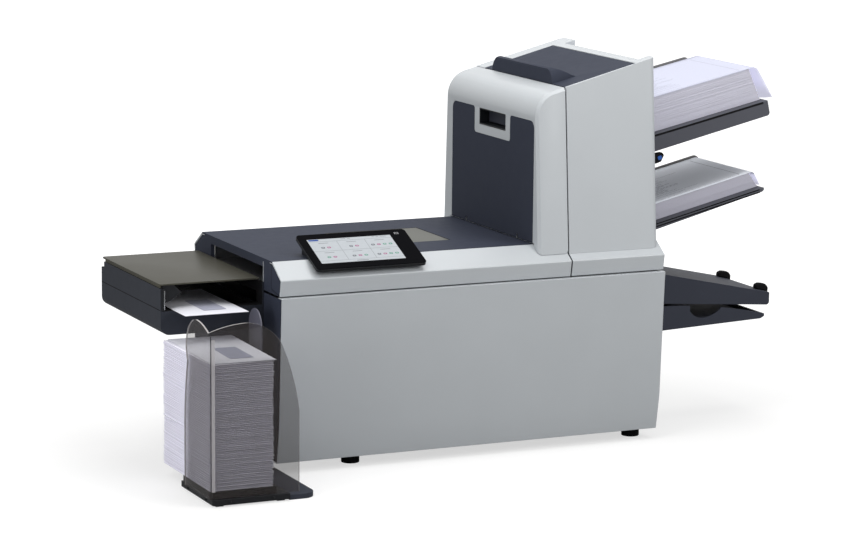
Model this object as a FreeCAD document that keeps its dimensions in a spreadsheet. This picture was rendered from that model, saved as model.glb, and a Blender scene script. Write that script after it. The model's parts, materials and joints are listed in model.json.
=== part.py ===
import FreeCAD, Part
import math
import operator
import os
import types

import Sketcher
from FreeCAD import Placement, Rotation, Vector

# Table-top folder inserter, in millimetres.
# Sizes are kept in one sheet. Inside this file a place is measured from the cabinet's left end (x),
# from the front edge of the dark top (y) and from the desk (z), and every piece is then shifted so
# that the origin is under the middle of the whole machine.

SIZES = {
    "Frame of the part": {
        "datum_x": 420.5,  # cabinet's left end to the origin
        "datum_y": 93.5,  # front edge of the dark top to the origin
    },
    "Walls, gaps and fits": {
        "skin": 3,  # moulded wall
        "sheet_wall": 1.5,  # inner sheet metal
        "panel_wall": 2,  # outer sheet panels
        "gap": 0.3,  # gap between pieces that sit side by side
        "seam_gap": 2.4,  # open seam between door and tower
        "play": 0.09,  # radial play of a pin in its bore
        "slot_play": 2,  # room around a roller in its slot
        "flange": 16,  # turned edge of the outer panels
    },
    "Cabinet": {
        "body_length": 735,  # cabinet along x
        "top_depth": 338,  # flat dark top along y
        "top_height": 367,  # dark top above the desk
        "crease_drop": 27,  # crease of the cover below the dark top
        "crease_out": 41,  # crease in front of the dark top
        "cover_band": 28,  # lower edge of the cover below its crease
        "cover_bottom_out": 36,  # lower edge of the cover in front of the dark top
        "lip_gap": 2,  # upper edge of the front panel below the cover
        "lip_out": 44,  # upper edge of the front panel in front of the dark top
        "lip_band": 18,  # first crease below the panel's upper edge
        "panel_crease_out": 42.5,  # first crease in front of the dark top
        "fold_height": 84,  # fold of the front panel
        "fold_out": 32,  # fold in front of the dark top
        "panel_bottom": 20,  # lower edge of the panels
        "bottom_out": 21,  # lower edge in front of the dark top
        "rear_out": 40,  # rear panel behind the dark top
        "foot_radius": 16,  # rubber foot
        "foot_left": 156,  # left feet from the left end
        "foot_right_in": 28,  # right feet from the right end
        "foot_inset": 25,  # feet from the edges of the dark top
        "pan_flange": 24,  # height of the pan's edges
        "vent_width": 4,  # slot in the rear panel
        "vent_height": 60,  # slot in the rear panel
        "vent_pitch": 10,  # from slot to slot
        "vent_count": 14,  # slots
        "vent_in": 295,  # first slot from the right end
        "vent_low": 120,  # lower end of the slots
        "inlet_width": 27,  # power inlet
        "inlet_height": 20,  # power inlet
        "inlet_in": 75,  # power inlet from the right end
        "inlet_low": 60,  # power inlet above the desk
        "switch_width": 13,  # power switch
        "switch_height": 19,  # power switch
        "switch_in": 28,  # power switch from the power inlet
        "switch_play": 1.8,  # rocker inside the height of its hole
        "inlet_rim": 3,  # rim of the power inlet
        "inlet_depth": 20,  # power inlet behind the rear panel's face
        "supply_in": 175,  # power supply from the right end
        "supply_back_in": 88,  # power supply from the back edge of the dark top
        "supply_length": 150,  # power supply along x
        "supply_depth": 55,  # power supply along y
        "supply_height": 60,  # power supply
    },
    "Opening cover": {
        "shell_length": 178.5,  # fixed part of the tower along x, up to the seam
        "ledge": 12,  # ledge under the dark top
        "cheek_wall": 8,  # end cheek
        "throat_front": 42,  # throat in the end cheek
        "throat_back_in": 43,  # throat from the back edge of the dark top
        "throat_sill": 6,  # throat above the cover's lower edge
        "throat_lintel": 15,  # throat below the dark top
        "window_left": 198,  # smoked window
        "window_right": 378,  # smoked window
        "window_front": 97,  # smoked window
        "window_back_in": 95,  # smoked window from the back edge of the dark top
        "window_ledge": 4,  # ledge that carries the pane
        "pane_wall": 2,  # smoked pane
        "hinge_out": 31,  # cover hinge behind the dark top
        "hinge_drop": 2,  # cover hinge below the crease
        "hinge_pin": 3,  # radius of the cover's hinge pins
        "hinge_eye": 5.5,  # half width of the hinge eyes
        "bracket_wall": 4,  # hinge bracket
        "bracket_left": 60,  # first hinge bracket from the left end
        "bracket_in": 80.5,  # second hinge bracket from the seam
        "lug_wall": 5,  # hinge lug beside each bracket
        "lug_play": 0.5,  # side play of a hinge lug
        "throat_round": 4,  # corners of the throat
        "press_drop": 47,  # underside of the inner press plate below the dark top
    },
    "Touch screen": {
        "screen_left": 65,  # left edge of the screen
        "screen_front": 44.7,  # lower edge in front of the dark top
        "screen_drop": 10.4,  # lower edge of the screen below the dark top
        "screen_width": 204,  # screen along x
        "screen_length": 110,  # screen along its slope
        "screen_tilt": 23,  # slope in degrees
        "screen_thick": 7,  # glass and housing
        "glass_thick": 1.2,  # glass
        "screen_round": 7,  # corner radius
        "wedge_inset": 10,  # wedge from the screen's ends
        "wedge_back": 52,  # back of the wedge
        "wedge_lap": 8,  # wedge along the housing's underside
    },
    "Tower": {
        "door_deep": 58.5,  # door of the tower along x, up to the seam
        "tower_end_in": 6,  # right face of the tower from the cabinet's right end
        "foot_in": 15,  # foot of the tower's front wall behind the crease
        "lean": 4.4,  # lean of the front wall in degrees
        "back_foot_in": 3,  # foot of the tower's back wall inside the rear crease
        "back_lean": 2.4,  # lean of the back wall in degrees
        "tower_rise": 274.4,  # roof at the lid's left edge above the dark top
        "roof_tilt": 14.7,  # slope of the roof in degrees
        "shoulder": 45,  # rounded upper left edge
        "door_bevel": 5,  # bevelled front and back edges of the door
        "tower_corner": 10,  # rounded upright corners of the tower's right end
        "horn_length": 21,  # horns along x
        "horn_front": 24,  # back of the front horn
        "horn_back_in": 26,  # back horn from the back edge of the dark top
        "horn_rise": 26,  # horns above the wall between them
        "lid_length": 144.5,  # lid along the slope
        "lid_inset": 3,  # lid from the front edge of the dark top
        "lid_back_inset": 10,  # lid from the back edge of the dark top
        "lid_slot": 2.5,  # slot along the lid's left edge
        "lid_wall": 3,  # lid
        "lid_play": 2.5,  # gap at the lid's hinge edge
        "lid_pin": 2,  # radius of the lid's pins
        "lid_axis_in": 5,  # lid's pins from its hinge edge
        "lid_boss": 8,  # bosses that hold the lid's pins, along y
        "lid_boss_half": 4,  # half width of these bosses along the slope
        "lid_pad_half": 5,  # half width of the pads inside the walls that take the pins
        "lid_pad_deep": 3.5,  # these pads from the lid's edges
        "hood_run": 6,  # start of the grip's fall from its left face
        "hood_lip": 16,  # room under the grip from the end of its fall
        "grip_front": 52,  # raised grip of the lid
        "grip_back_in": 41,  # raised grip from the back edge of the dark top
        "grip_rise": 24,  # raised grip of the lid
        "grip_length": 50,  # raised grip along the slope
        "grip_fall": 22,  # rounded fall of the grip at its ends
        "inset_rise": 217,  # top of the dark inset above the dark top
        "inset_depth": 1.6,  # dark inset
        "inset_round": 14,  # upper corners of the dark inset
        "notch_round": 6,  # corners beside the handle
        "notch_drop": 47,  # light surround of the handle below the inset's top
        "notch_front": 97,  # light surround of the handle
        "notch_back_in": 95,  # light surround from the back edge of the dark top
        "hole_sill": 16,  # handle recess above the foot of its surround
        "hole_height": 30,  # handle recess
        "grip_hole_front": 115,  # handle recess
        "hole_back_in": 114,  # handle recess from the back edge of the dark top
        "cup_depth": 30,  # handle recess
        "cup_wall": 2,  # handle cup
        "door_axis": 3.5,  # door hinge from the left face and above the lower edge
        "door_toe": 1.5,  # bevel of the door's lower left edge
        "toe_reach": 6,  # that bevel past the front and back edges of the dark top
        "knuckle": 8,  # width of the door's knuckles
        "knuckle_gap": 1,  # between a knuckle and its lug
        "door_pin": 1.5,  # radius of the door's pins
        "door_rise": 1,  # door above the dark top
        "door_lug": 6,  # width of the door's hinge lugs
        "door_lug_front": 60,  # first door lug
        "door_lug_back_in": 66,  # second door lug from the back edge of the dark top
    },
    "Sheet feeders": {
        "tray_in": 39,  # inner end of the trays inside the tower's right face
        "tray_front": 44,  # front edge of the trays
        "tray_back_in": 44,  # trays from the back edge of the dark top
        "tray_wall": 3,  # tray
        "upper_tray_rise": 161.6,  # inner end of the upper tray above the dark top
        "upper_tray_tilt": 12.7,  # slope in degrees
        "upper_tray_length": 305,  # along the slope
        "upper_rail": 31,  # side rail of the upper tray
        "lower_tray_drop": 2.3,  # inner end of the lower tray below the dark top
        "lower_tray_tilt": 13.5,  # slope in degrees
        "lower_tray_length": 303,  # along the slope
        "lower_rail": 13,  # side rail of the lower tray at the tower
        "lower_rail_end": 7,  # side rail of the lower tray at its free end
        "sheet_width": 210,  # sheet across the tray
        "sheet_length": 297,  # sheet along the tray
        "upper_load": 61,  # stack in the upper tray
        "lower_load": 29,  # stack in the lower tray
        "stack_lean": 12,  # lean of the stack's end
        "stack_start": 3,  # foot of the stack from the inner end of the tray
        "tray_end_room": 12,  # solid end of the trays
        "tray_end_round": 6,  # rounded free end of the trays
        "guide_start": 46,  # side guides from the inner end of the trays
        "guide_foot_short": 30,  # guide's foot ends before the guide
        "tray_rest": 36,  # blocks on the tower's wall that carry the trays
        "tray_rest_wall": 12,  # width of these blocks
        "tray_rest_front": 26,  # blocks from the trays' edges
        "guide_wall": 2.5,  # side guide
        "guide_foot": 14,  # foot of the side guide
        "guide_rise": 5,  # side guide above the stack
        "upper_guide_end": 281,  # end of the upper side guide along the slope
        "lower_guide_end": 301,  # end of the lower side guide along the slope
        "guide_round": 12,  # rounded end of the side guides
        "feeder_front": 38,  # openings in the tower's right wall
        "feeder_back_in": 30,  # openings from the back edge of the dark top
        "upper_slot_under": 30.6,  # upper opening below the tray's inner end
        "upper_slot_over": 89.4,  # upper opening above the tray's inner end
        "lower_slot_under": 9.7,  # lower opening below the tray's inner end
        "lower_slot_over": 59.3,  # lower opening above the tray's inner end
        "lever_pivot": 8,  # lever pivot from the wall
        "upper_lever_drop": 31.6,  # upper lever pivot below the tray's inner end
        "upper_lever_reach": 40,  # upper lever
        "lower_lever_drop": 18.7,  # lower lever pivot below the tray's inner end
        "lower_lever_reach": 22,  # lower lever
        "lever_pin": 2,  # radius of the lever's pin
        "lever_hub": 6,  # radius of the lever's hub
        "lever_front": 46,  # front face of the levers
        "lever_width": 12,  # width of the levers
        "lever_bevel": 3,  # cut corners of the lower lever
        "fork_wall": 3,  # ears of the lever forks
    },
    "Rollers": {
        "frame_front_at": 20,  # front side plate
        "frame_back_in": 20,  # back side plate from the back edge of the dark top
        "frame_drop": 32,  # side plates below the dark top
        "deck_drop": 62,  # transport deck below the dark top
        "shaft_radius": 5,  # roller shafts
        "transport_radius": 15,  # transport rollers
        "transport_at": 150,  # transport shaft from the left end
        "transport_rise": 2,  # transport rollers above the deck
        "tyre_width": 160,  # tyres of the transport and idler shafts
        "feed_tyre": 60,  # tyre of the sheet feed rollers
        "shaft_end": 6,  # shafts past the side plates
        "idler_radius": 10,  # idler rollers in the cover
        "nip": 0.2,  # nip between rollers that meet
        "fold_radius": 14,  # fold rollers
        "fold_in": 39.5,  # first fold roller from the seam
        "fold_drop": 49,  # fold rollers below the dark top
        "feed_radius": 17,  # sheet feed rollers
        "feed_ahead": 20,  # feed rollers from the inner end of the tray
        "exit_radius": 12,  # exit rollers
        "exit_shaft_back": 90,  # exit shaft from the front edge of the dark top
        "motor_half": 21,  # half width of the main motor
        "motor_bevel": 6,  # cut corners of the main motor
        "motor_length": 42,  # main motor
        "plate_slit": 3,  # slit of the fold plates
        "plate_reach": 42,  # fold plates along x
        "plate_gap": 6,  # fold plates beside the rollers
    },
    "Exit unit": {
        "exit_left": 187,  # exit unit to the left of the cabinet
        "exit_front": 38,  # front lip
        "exit_past": 8,  # back of the exit unit behind the dark top
        "exit_belly": 34,  # underside below the floor
        "exit_lip_rise": 7,  # front lip above the floor
        "exit_lip_thick": 24,  # front lip
        "exit_step": 25,  # floor below the transport deck
        "exit_wall_rise": 46,  # side wall above the floor
        "exit_back_rise": 35,  # back wall above the floor
        "exit_round": 16,  # lower left edge
        "exit_tyre": 88,  # tyre of the exit roller along x
        "exit_tyre_left": 150,  # left end of that tyre to the left of the cabinet
        "ear_wall": 4,  # ears that hold the smoked lid
        "ear_root": 14,  # ears below the top of the back wall
        "exit_knuckle": 6,  # knuckles of the smoked lid
        "exit_knuckle_gap": 0.5,  # between a knuckle and its ear
        "exit_lid_round": 5,  # left corners of the smoked lid
        "finger_wall": 4,  # guide finger
        "ear_inset": 6,  # ears from the ends of the exit unit
        "exit_lid_short": 8,  # smoked lid behind the front lip
        "exit_lid_rise": 6.5,  # smoked lid above the side wall
        "exit_lid_wall": 2.5,  # smoked lid
        "exit_axis_in": 5,  # hinge of the smoked lid from the back
        "exit_axis_drop": 8.5,  # hinge below the top of the smoked lid
        "exit_pin": 2,  # radius of the lid's pins
        "exit_eye": 3.5,  # half width of the lid's knuckles
        "mouth_sill": 4,  # passage from the cabinet above the floor
        "mouth_opening": 22,  # passage from the cabinet
        "mouth_front": 66,  # passage from the cabinet
        "mouth_back_in": 12,  # passage from the back edge of the dark top
    },
    "Stacker": {
        "stacker_left": 181,  # base to the left of the cabinet
        "stacker_front": 195,  # base in front of the dark top
        "stacker_width": 136,  # black base along x
        "stacker_depth": 152,  # black base along y
        "stacker_low": 3,  # base above the desk
        "stacker_top": 13,  # base above the desk
        "riser_top": 24,  # block under the envelopes
        "slate_right": 5,  # slate foot past the cabinet's left end
        "slate_top": 9,  # slate foot above the desk
        "slate_front": 190,  # slate foot in front of the dark top
        "slate_depth": 190,  # slate foot along y
        "slate_round": 22,  # rounded corner of the slate foot
        "tongue_right": 29,  # tongue to the left of the cabinet
        "tongue_wall": 2.5,  # tongue
        "tongue_half": 29,  # half width of the tongue
        "tongue_rise": 2,  # tongue above the front lip of the exit unit
        "guide_left": 187,  # smoked guide to the left of the cabinet
        "guide_front": 190,  # smoked guide in front of the dark top
        "guide_sheet": 3,  # smoked guide
        "guide_width": 160,  # front wing of the smoked guide
        "guide_depth": 115,  # side wing of the smoked guide
        "guide_drop": 1,  # smoked guide's top below the transport deck
        "bend_drop": 13,  # wings at their bend below the guide's top
        "front_peak": 68,  # highest point of the front wing from the bend
        "front_fall": 62,  # from there to the start of the long fall
        "front_drop": 42,  # height lost there
        "front_low": 42,  # outer end of the front wing above the base
        "side_peak": 58,  # highest point of the side wing from the bend
        "side_fall": 43,  # from there to the start of the long fall
        "side_drop": 76,  # height lost there
        "side_low": 90,  # outer end of the side wing above the base
        "glide": 14,  # square glides under the base
        "glide_inset": 7,  # glides from the edges of the base
        "envelope_width": 114,  # envelope
        "envelope_length": 229,  # envelope
        "stack_under": 6,  # stack of envelopes below the exit unit
        "stack_side": 2,  # stack beside the side wing of the smoked guide
        "stack_ahead": 4,  # stack behind the front wing of the smoked guide
        "base_round": 6,  # rounded corner of the black base
        "exiting_thick": 3,  # filled envelope
        "exiting_left": 163,  # envelope in the exit unit
        "exiting_front": 17,  # envelope in the exit unit
    },
    "Envelope feeder": {
        "table_out": 2,  # lifting table to the right of the cabinet
        "table_length": 283,  # lifting table along x
        "table_front": 74,  # front edge
        "table_back_in": 77,  # back edge from the back edge of the dark top
        "table_drop": 8,  # top at the cabinet below the envelope entry
        "table_deep": 63,  # depth of the table at the cabinet
        "table_fall": 61,  # fall of the top along the table
        "table_end_deep": 23,  # depth of the table at its free end
        "table_wall": 3,  # moulding
        "table_axis_out": 12,  # hinge from the table's inner end
        "table_axis_drop": 32,  # hinge below the top at the cabinet
        "table_pin": 3,  # radius of the hinge pins
        "stop_length": 27,  # rubber stop along x
        "stop_width": 14,  # rubber stop along y
        "stop_rise": 12,  # rubber stop above the table
        "stop_inset": 17,  # rubber stops from the table's edges
        "stop_past": 8,  # rubber stops past the table's end
        "slot_drop": 8,  # envelope entry below the panel's upper edge
        "well_gap": 10,  # lower tray below the table at the cabinet
        "well_deep": 47,  # depth of the lower tray at the cabinet
        "well_arch": 990,  # radius of the arched upper edge
        "well_short": 10,  # lower tray shorter than the table
        "well_fall": 27,  # fall of the lower tray's upper edge
        "well_end_deep": 9,  # depth of the lower tray at its free end
        "scoop_start": 118,  # finger scoop from the cabinet
        "scoop_length": 64,  # finger scoop along x
        "scoop_depth": 14,  # finger scoop
        "table_round": 6,  # lower corner of the table's free end
        "ear_side": 5,  # ears that carry the lifting table
    },
}


class Dim:
    """A length or angle that carries its number and the sheet expression behind it."""

    def __init__(self, text, number):
        self.text = text
        self.number = number

    def __add__(self, other):
        return joined(self, "+", other)

    def __radd__(self, other):
        return joined(other, "+", self)

    def __sub__(self, other):
        return joined(self, "-", other)

    def __rsub__(self, other):
        return joined(other, "-", self)

    def __mul__(self, other):
        return joined(self, "*", other)

    def __rmul__(self, other):
        return joined(other, "*", self)

    def __truediv__(self, other):
        return joined(self, "/", other)

    def __neg__(self):
        return joined(0, "-", self)


SIGNS = {"+": operator.add, "-": operator.sub, "*": operator.mul, "/": operator.truediv}


def dim(value):
    """Return value as a Dim; a plain number stands for itself."""
    if isinstance(value, Dim):
        return value
    return Dim(f"({value})", float(value))


def joined(left, sign, right):
    left, right = dim(left), dim(right)
    return Dim(f"({left.text} {sign} {right.text})", SIGNS[sign](left.number, right.number))


def sine(angle):
    return Dim(f"sin({angle.text})", math.sin(math.radians(angle.number)))


def cosine(angle):
    return Dim(f"cos({angle.text})", math.cos(math.radians(angle.number)))


def tangent(angle):
    return Dim(f"tan({angle.text})", math.tan(math.radians(angle.number)))


def root(value):
    return Dim(f"sqrt({value.text})", math.sqrt(value.number))


def fill_sheet(document):
    """Write every size to the sheet under its alias, and return them by name."""
    sheet = document.addObject("Spreadsheet::Sheet", "Sizes")
    named = types.SimpleNamespace()
    row = 1
    for heading, entries in SIZES.items():
        sheet.set(f"A{row}", heading)
        row += 1
        for alias, number in entries.items():
            sheet.set(f"A{row}", alias)
            sheet.set(f"B{row}", str(number))
            sheet.setAlias(f"B{row}", alias)
            setattr(named, alias, Dim(f"Sizes.{alias}", float(number)))
            row += 1
    document.recompute()
    return named


doc = FreeCAD.newDocument("folder_inserter")
size = fill_sheet(doc)
nodes = {}

AXES = {"x": Vector(1, 0, 0), "y": Vector(0, 1, 0), "z": Vector(0, 0, 1)}


def bind(thing, name, value):
    """Tie one property of a document object to the sheet."""
    thing.setExpression(name, dim(value).text)


def new_body(label, at=(0, 0, 0), turn=None):
    """Start a piece. at is its own origin on the machine; turn is (axis, angle) about that origin."""
    body = doc.addObject("PartDesign::Body", label)
    body.Label = label
    body.AllowCompound = True
    if turn:
        axis, angle = turn
        body.Placement = Placement(Vector(), Rotation(axis, angle.number))
        bind(body, "Placement.Rotation.Angle", angle)
    bind(body, "Placement.Base.x", at[0] - size.datum_x)
    bind(body, "Placement.Base.y", at[1] - size.datum_y)
    bind(body, "Placement.Base.z", at[2])
    nodes[label] = body
    return body


def origin_feature(body, role):
    return [feature for feature in body.Origin.OriginFeatures if feature.Role == role][0]


def new_sketch(body, plane, level, shift=(0, 0)):
    """Sketch on one of the body's own planes, moved to level along the axis that the plane faces."""
    sketch = body.newObject("Sketcher::SketchObject", f"{body.Name}_{plane}")
    sketch.AttachmentSupport = [(origin_feature(body, f"{plane}_Plane"), "")]
    sketch.MapMode = "FlatFace"
    bind(sketch, "AttachmentOffset.Base.x", shift[0])
    bind(sketch, "AttachmentOffset.Base.y", shift[1])
    bind(sketch, "AttachmentOffset.Base.z", -dim(level) if plane == "XZ" else level)
    return sketch


def arc_between(start, end, radius):
    """Arc from start to end; a positive radius has its centre on the left of the way."""
    chord = end - start
    middle = (start + end) * 0.5
    left = Vector(-chord.y, chord.x, 0).normalize()
    rise = math.sqrt(max(radius * radius - chord.Length ** 2 / 4, 0))
    centre = middle + left * (rise if radius > 0 else -rise)
    first, last = (start, end) if radius > 0 else (end, start)
    angles = [math.atan2(point.y - centre.y, point.x - centre.x) for point in (first, last)]
    circle = Part.Circle(centre, Vector(0, 0, 1), abs(radius))
    return Part.ArcOfCircle(circle, angles[0], angles[1])


def draw_outline(sketch, points):
    """Closed outline. A point is (across, up), or (across, up, radius) where an arc follows it."""
    places = [Vector(dim(point[0]).number, dim(point[1]).number, 0) for point in points]
    first = sketch.GeometryCount
    shapes = []
    ends = []
    for number, point in enumerate(points):
        start = places[number]
        end = places[(number + 1) % len(points)]
        if len(point) == 3:
            radius = dim(point[2]).number
            shapes.append(arc_between(start, end, radius))
            ends.append((1, 2) if radius > 0 else (2, 1))
        else:
            shapes.append(Part.LineSegment(start, end))
            ends.append((1, 2))
    sketch.addGeometry(shapes, False)
    rules = []
    bound = []
    for number, point in enumerate(points):
        following = (number + 1) % len(points)
        edge = first + number
        rules.append(Sketcher.Constraint("Coincident", edge, ends[number][1],
                                         first + following, ends[following][0]))
        for kind, value, place in (("DistanceX", point[0], places[number].x),
                                   ("DistanceY", point[1], places[number].y)):
            bound.append((len(rules), value))
            rules.append(Sketcher.Constraint(kind, -1, 1, edge, ends[number][0], place))
        if len(point) == 3:
            radius = dim(point[2])
            bound.append((len(rules), radius if radius.number > 0 else -radius))
            rules.append(Sketcher.Constraint("Radius", edge, abs(radius.number)))
    tie_rules(sketch, rules, bound)


def draw_circle(sketch, across, up, radius):
    place = Vector(dim(across).number, dim(up).number, 0)
    edge = sketch.addGeometry(Part.Circle(place, Vector(0, 0, 1), dim(radius).number), False)
    rules = [Sketcher.Constraint("DistanceX", -1, 1, edge, 3, place.x),
             Sketcher.Constraint("DistanceY", -1, 1, edge, 3, place.y),
             Sketcher.Constraint("Radius", edge, dim(radius).number)]
    tie_rules(sketch, rules, [(0, across), (1, up), (2, radius)])


def tie_rules(sketch, rules, bound):
    """Add the constraints, and tie those that carry a size to the sheet."""
    offset = sketch.ConstraintCount
    sketch.addConstraint(rules)
    for number, value in bound:
        value = dim(value)
        if "Sizes." in value.text:
            bind(sketch, f"Constraints[{offset + number}]", value)


def extrude(body, sketch, plane, length, cutting):
    kind = "PartDesign::Pocket" if cutting else "PartDesign::Pad"
    feature = body.newObject(kind, f"{body.Name}_{'cut' if cutting else 'pad'}")
    feature.Profile = sketch
    bind(feature, "Length", length)
    feature.Reversed = (plane == "XZ") != cutting
    sketch.Visibility = False
    return feature


def block(body, plane, points, start, end, cutting=False):
    """Prism between two levels. plane is the plane of its outline."""
    sketch = new_sketch(body, plane, start)
    draw_outline(sketch, points)
    return extrude(body, sketch, plane, dim(end) - start, cutting)


def cut(body, plane, points, start, end):
    return block(body, plane, points, start, end, cutting=True)


def disc(body, plane, centre, radius, start, end, cutting=False):
    """Round bar, or bore, between two levels; centre may hold several places."""
    centres = centre if isinstance(centre, list) else [centre]
    sketch = new_sketch(body, plane, start)
    for across, up in centres:
        draw_circle(sketch, across, up, radius)
    return extrude(body, sketch, plane, dim(end) - start, cutting)


def bore(body, plane, centre, radius, start, end):
    return disc(body, plane, centre, radius, start, end, cutting=True)


def box_points(low, high):
    """Corners of a rectangle from two opposite corners."""
    return [(low[0], low[1]), (high[0], low[1]), (high[0], high[1]), (low[0], high[1])]


def spin(body, axis, points, at):
    """Turned solid about a line along x or y. Points are (along, radius); at holds the line's place."""
    plane = {"x": "XZ", "y": "YZ"}[axis]
    level, height = at
    sketch = new_sketch(body, plane, level, shift=(0, height))
    draw_outline(sketch, points)
    feature = body.newObject("PartDesign::Revolution", f"{body.Name}_turned")
    feature.Profile = sketch
    feature.ReferenceAxis = (sketch, ["H_Axis"])
    feature.Angle = 360
    sketch.Visibility = False
    return feature


def roller_outline(ends, shaft, rollers, radius):
    """Half outline of a shaft with wider stretches; rollers holds (start, end) pairs in order."""
    points = [(ends[0], 0), (ends[0], shaft)]
    for start, end in rollers:
        points += [(start, shaft), (start, radius), (end, radius), (end, shaft)]
    return points + [(ends[1], shaft), (ends[1], 0)]


def repeat(body, feature, role, length, count):
    """Row of copies of one feature along one of the body's own axes."""
    pattern = body.newObject("PartDesign::LinearPattern", f"{body.Name}_row")
    pattern.Originals = [feature]
    pattern.Direction = (origin_feature(body, role), [""])
    bind(pattern, "Length", length)
    bind(pattern, "Occurrences", count)
    body.Tip = pattern
    return pattern


def edges_along(axis, places):
    """Chooser of straight edges along an axis that pass through one of the places."""
    others = [index for index, name in enumerate("xyz") if name != axis]

    def chosen(edge):
        if len(edge.Vertexes) != 2 or edge.Curve.TypeId != "Part::GeomLine":
            return False
        start, end = (vertex.Point for vertex in edge.Vertexes)
        if (end - start).cross(AXES[axis]).Length > 0.01 * edge.Length:
            return False
        for place in places:
            gaps = [abs(start[index] - dim(value).number) for index, value in zip(others, place)]
            if max(gaps) < 0.05:
                return True
        return False

    return chosen


def round_edges(body, radius, chosen):
    """Fillet the chosen edges of the piece as it is so far."""
    doc.recompute()
    tip = body.Tip
    names = [f"Edge{number}" for number, edge in enumerate(tip.Shape.Edges, 1) if chosen(edge)]
    if not names:
        raise ValueError(f"{body.Label}: no edge to round")
    fillet = body.newObject("PartDesign::Fillet", f"{body.Name}_round")
    fillet.Base = (tip, names)
    bind(fillet, "Radius", radius)
    return fillet


def bevel_edges(body, width, chosen):
    """Chamfer the chosen edges of the piece as it is so far."""
    doc.recompute()
    tip = body.Tip
    names = [f"Edge{number}" for number, edge in enumerate(tip.Shape.Edges, 1) if chosen(edge)]
    chamfer = body.newObject("PartDesign::Chamfer", f"{body.Name}_bevel")
    chamfer.Base = (tip, names)
    bind(chamfer, "Size", width)
    return chamfer


def hollow(body, wall, opened):
    """Turn the solid so far into a shell of one wall, open at the chosen faces."""
    doc.recompute()
    tip = body.Tip
    names = [f"Face{number}" for number, face in enumerate(tip.Shape.Faces, 1) if opened(face)]
    shell = body.newObject("PartDesign::Thickness", f"{body.Name}_shell")
    shell.Base = (tip, names)
    bind(shell, "Value", wall)
    shell.Reversed = True
    shell.Join = 1
    return shell


# Derived places that several pieces share

crease_height = size.top_height - size.crease_drop
cover_bottom = crease_height - size.cover_band
lip_height = cover_bottom - size.lip_gap
panel_crease_height = lip_height - size.lip_band
foot_out = size.crease_out - size.foot_in
back_foot_out = size.crease_out - size.back_foot_in
tower_right = size.body_length - size.tower_end_in
seam = tower_right - size.shell_length
tower_left = seam - size.door_deep
foot_right = size.body_length - size.foot_right_in
vent_left = size.body_length - size.vent_in
inlet_left = size.body_length - size.inlet_in
switch_left = inlet_left - size.switch_in
supply_left = size.body_length - size.supply_in
supply_front = size.top_depth - size.supply_back_in
throat_back = size.top_depth - size.throat_back_in
throat_low = cover_bottom + size.throat_sill
throat_high = size.top_height - size.throat_lintel
window_back = size.top_depth - size.window_back_in
hinge_back = size.top_depth + size.hinge_out
hinge_height = crease_height - size.hinge_drop
bracket_right = seam - size.bracket_in
press_low = size.top_height - size.press_drop
screen_low = size.top_height - size.screen_drop
roof_low = size.top_height + size.tower_rise
roof_end = tower_right - size.horn_length
horn_back = size.top_depth - size.horn_back_in
grip_back = size.top_depth - size.grip_back_in
inset_top = size.top_height + size.inset_rise
notch_low = inset_top - size.notch_drop
notch_back = size.top_depth - size.notch_back_in
grip_hole_low = notch_low + size.hole_sill
grip_hole_high = grip_hole_low + size.hole_height
grip_hole_back = size.top_depth - size.hole_back_in
door_lug_back = size.top_depth - size.door_lug_back_in
tray_start = tower_right - size.tray_in
tray_back = size.top_depth - size.tray_back_in
upper_tray_height = size.top_height + size.upper_tray_rise
lower_tray_height = size.top_height - size.lower_tray_drop
feeder_back = size.top_depth - size.feeder_back_in
upper_slot_low = upper_tray_height - size.upper_slot_under
upper_slot_high = upper_tray_height + size.upper_slot_over
lower_slot_low = lower_tray_height - size.lower_slot_under
lower_slot_high = lower_tray_height + size.lower_slot_over
upper_lever_height = upper_tray_height - size.upper_lever_drop
lower_lever_height = lower_tray_height - size.lower_lever_drop
frame_back_at = size.top_depth - size.frame_back_in
frame_top = size.top_height - size.frame_drop
deck_height = size.top_height - size.deck_drop
fold_left = seam + size.fold_in
fold_height_at = size.top_height - size.fold_drop
exit_back = size.top_depth + size.exit_past
exit_floor = deck_height - size.exit_step
exit_low = exit_floor - size.exit_belly
exit_lip = exit_floor + size.exit_lip_rise
exit_wall_top = exit_floor + size.exit_wall_rise
exit_back_top = exit_floor + size.exit_back_rise
lid_top = exit_wall_top + size.exit_lid_rise
exit_axis_back = exit_back - size.exit_axis_in
exit_axis_height = lid_top - size.exit_axis_drop
mouth_low = exit_floor + size.mouth_sill
mouth_high = mouth_low + size.mouth_opening
mouth_back = size.top_depth - size.mouth_back_in
guide_top = deck_height - size.guide_drop
guide_bend = guide_top - size.bend_drop
tongue_top = exit_lip + size.tongue_rise
envelope_load = exit_low - size.stack_under - size.riser_top
table_start = size.body_length + size.table_out
table_end = table_start + size.table_length
table_back = size.top_depth - size.table_back_in
slot_high = lip_height - size.slot_drop
table_high = slot_high - size.table_drop
table_low = table_high - size.table_deep
table_end_high = table_high - size.table_fall
table_end_low = table_end_high - size.table_end_deep
table_axis_height = table_high - size.table_axis_drop
well_high = table_low - size.well_gap
well_low = well_high - size.well_deep
well_end = table_end - size.well_short
well_end_high = well_high - size.well_fall
well_end_low = well_end_high - size.well_end_deep
scoop_left = size.body_length + size.scoop_start
scoop_right = scoop_left + size.scoop_length
middle = size.top_depth / 2
bevel_slope = (size.top_height - crease_height) / size.crease_out
cover_end = seam - size.seam_gap / 2
tower_start = seam + size.seam_gap / 2
lid_left = cover_end + size.gap
rear_face = size.top_depth + size.rear_out
pan_low = size.panel_bottom + size.panel_wall + size.gap
top_under = size.top_height - size.skin
bore_play = size.play


def mirrored(points):
    """The same outline on the other side of the machine's middle."""
    return [(size.top_depth - point[0], point[1]) for point in points]


def bevel_height(y):
    """Height of the front bevel at a place in front of the dark top."""
    return size.top_height + y * bevel_slope


# Cabinet

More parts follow.
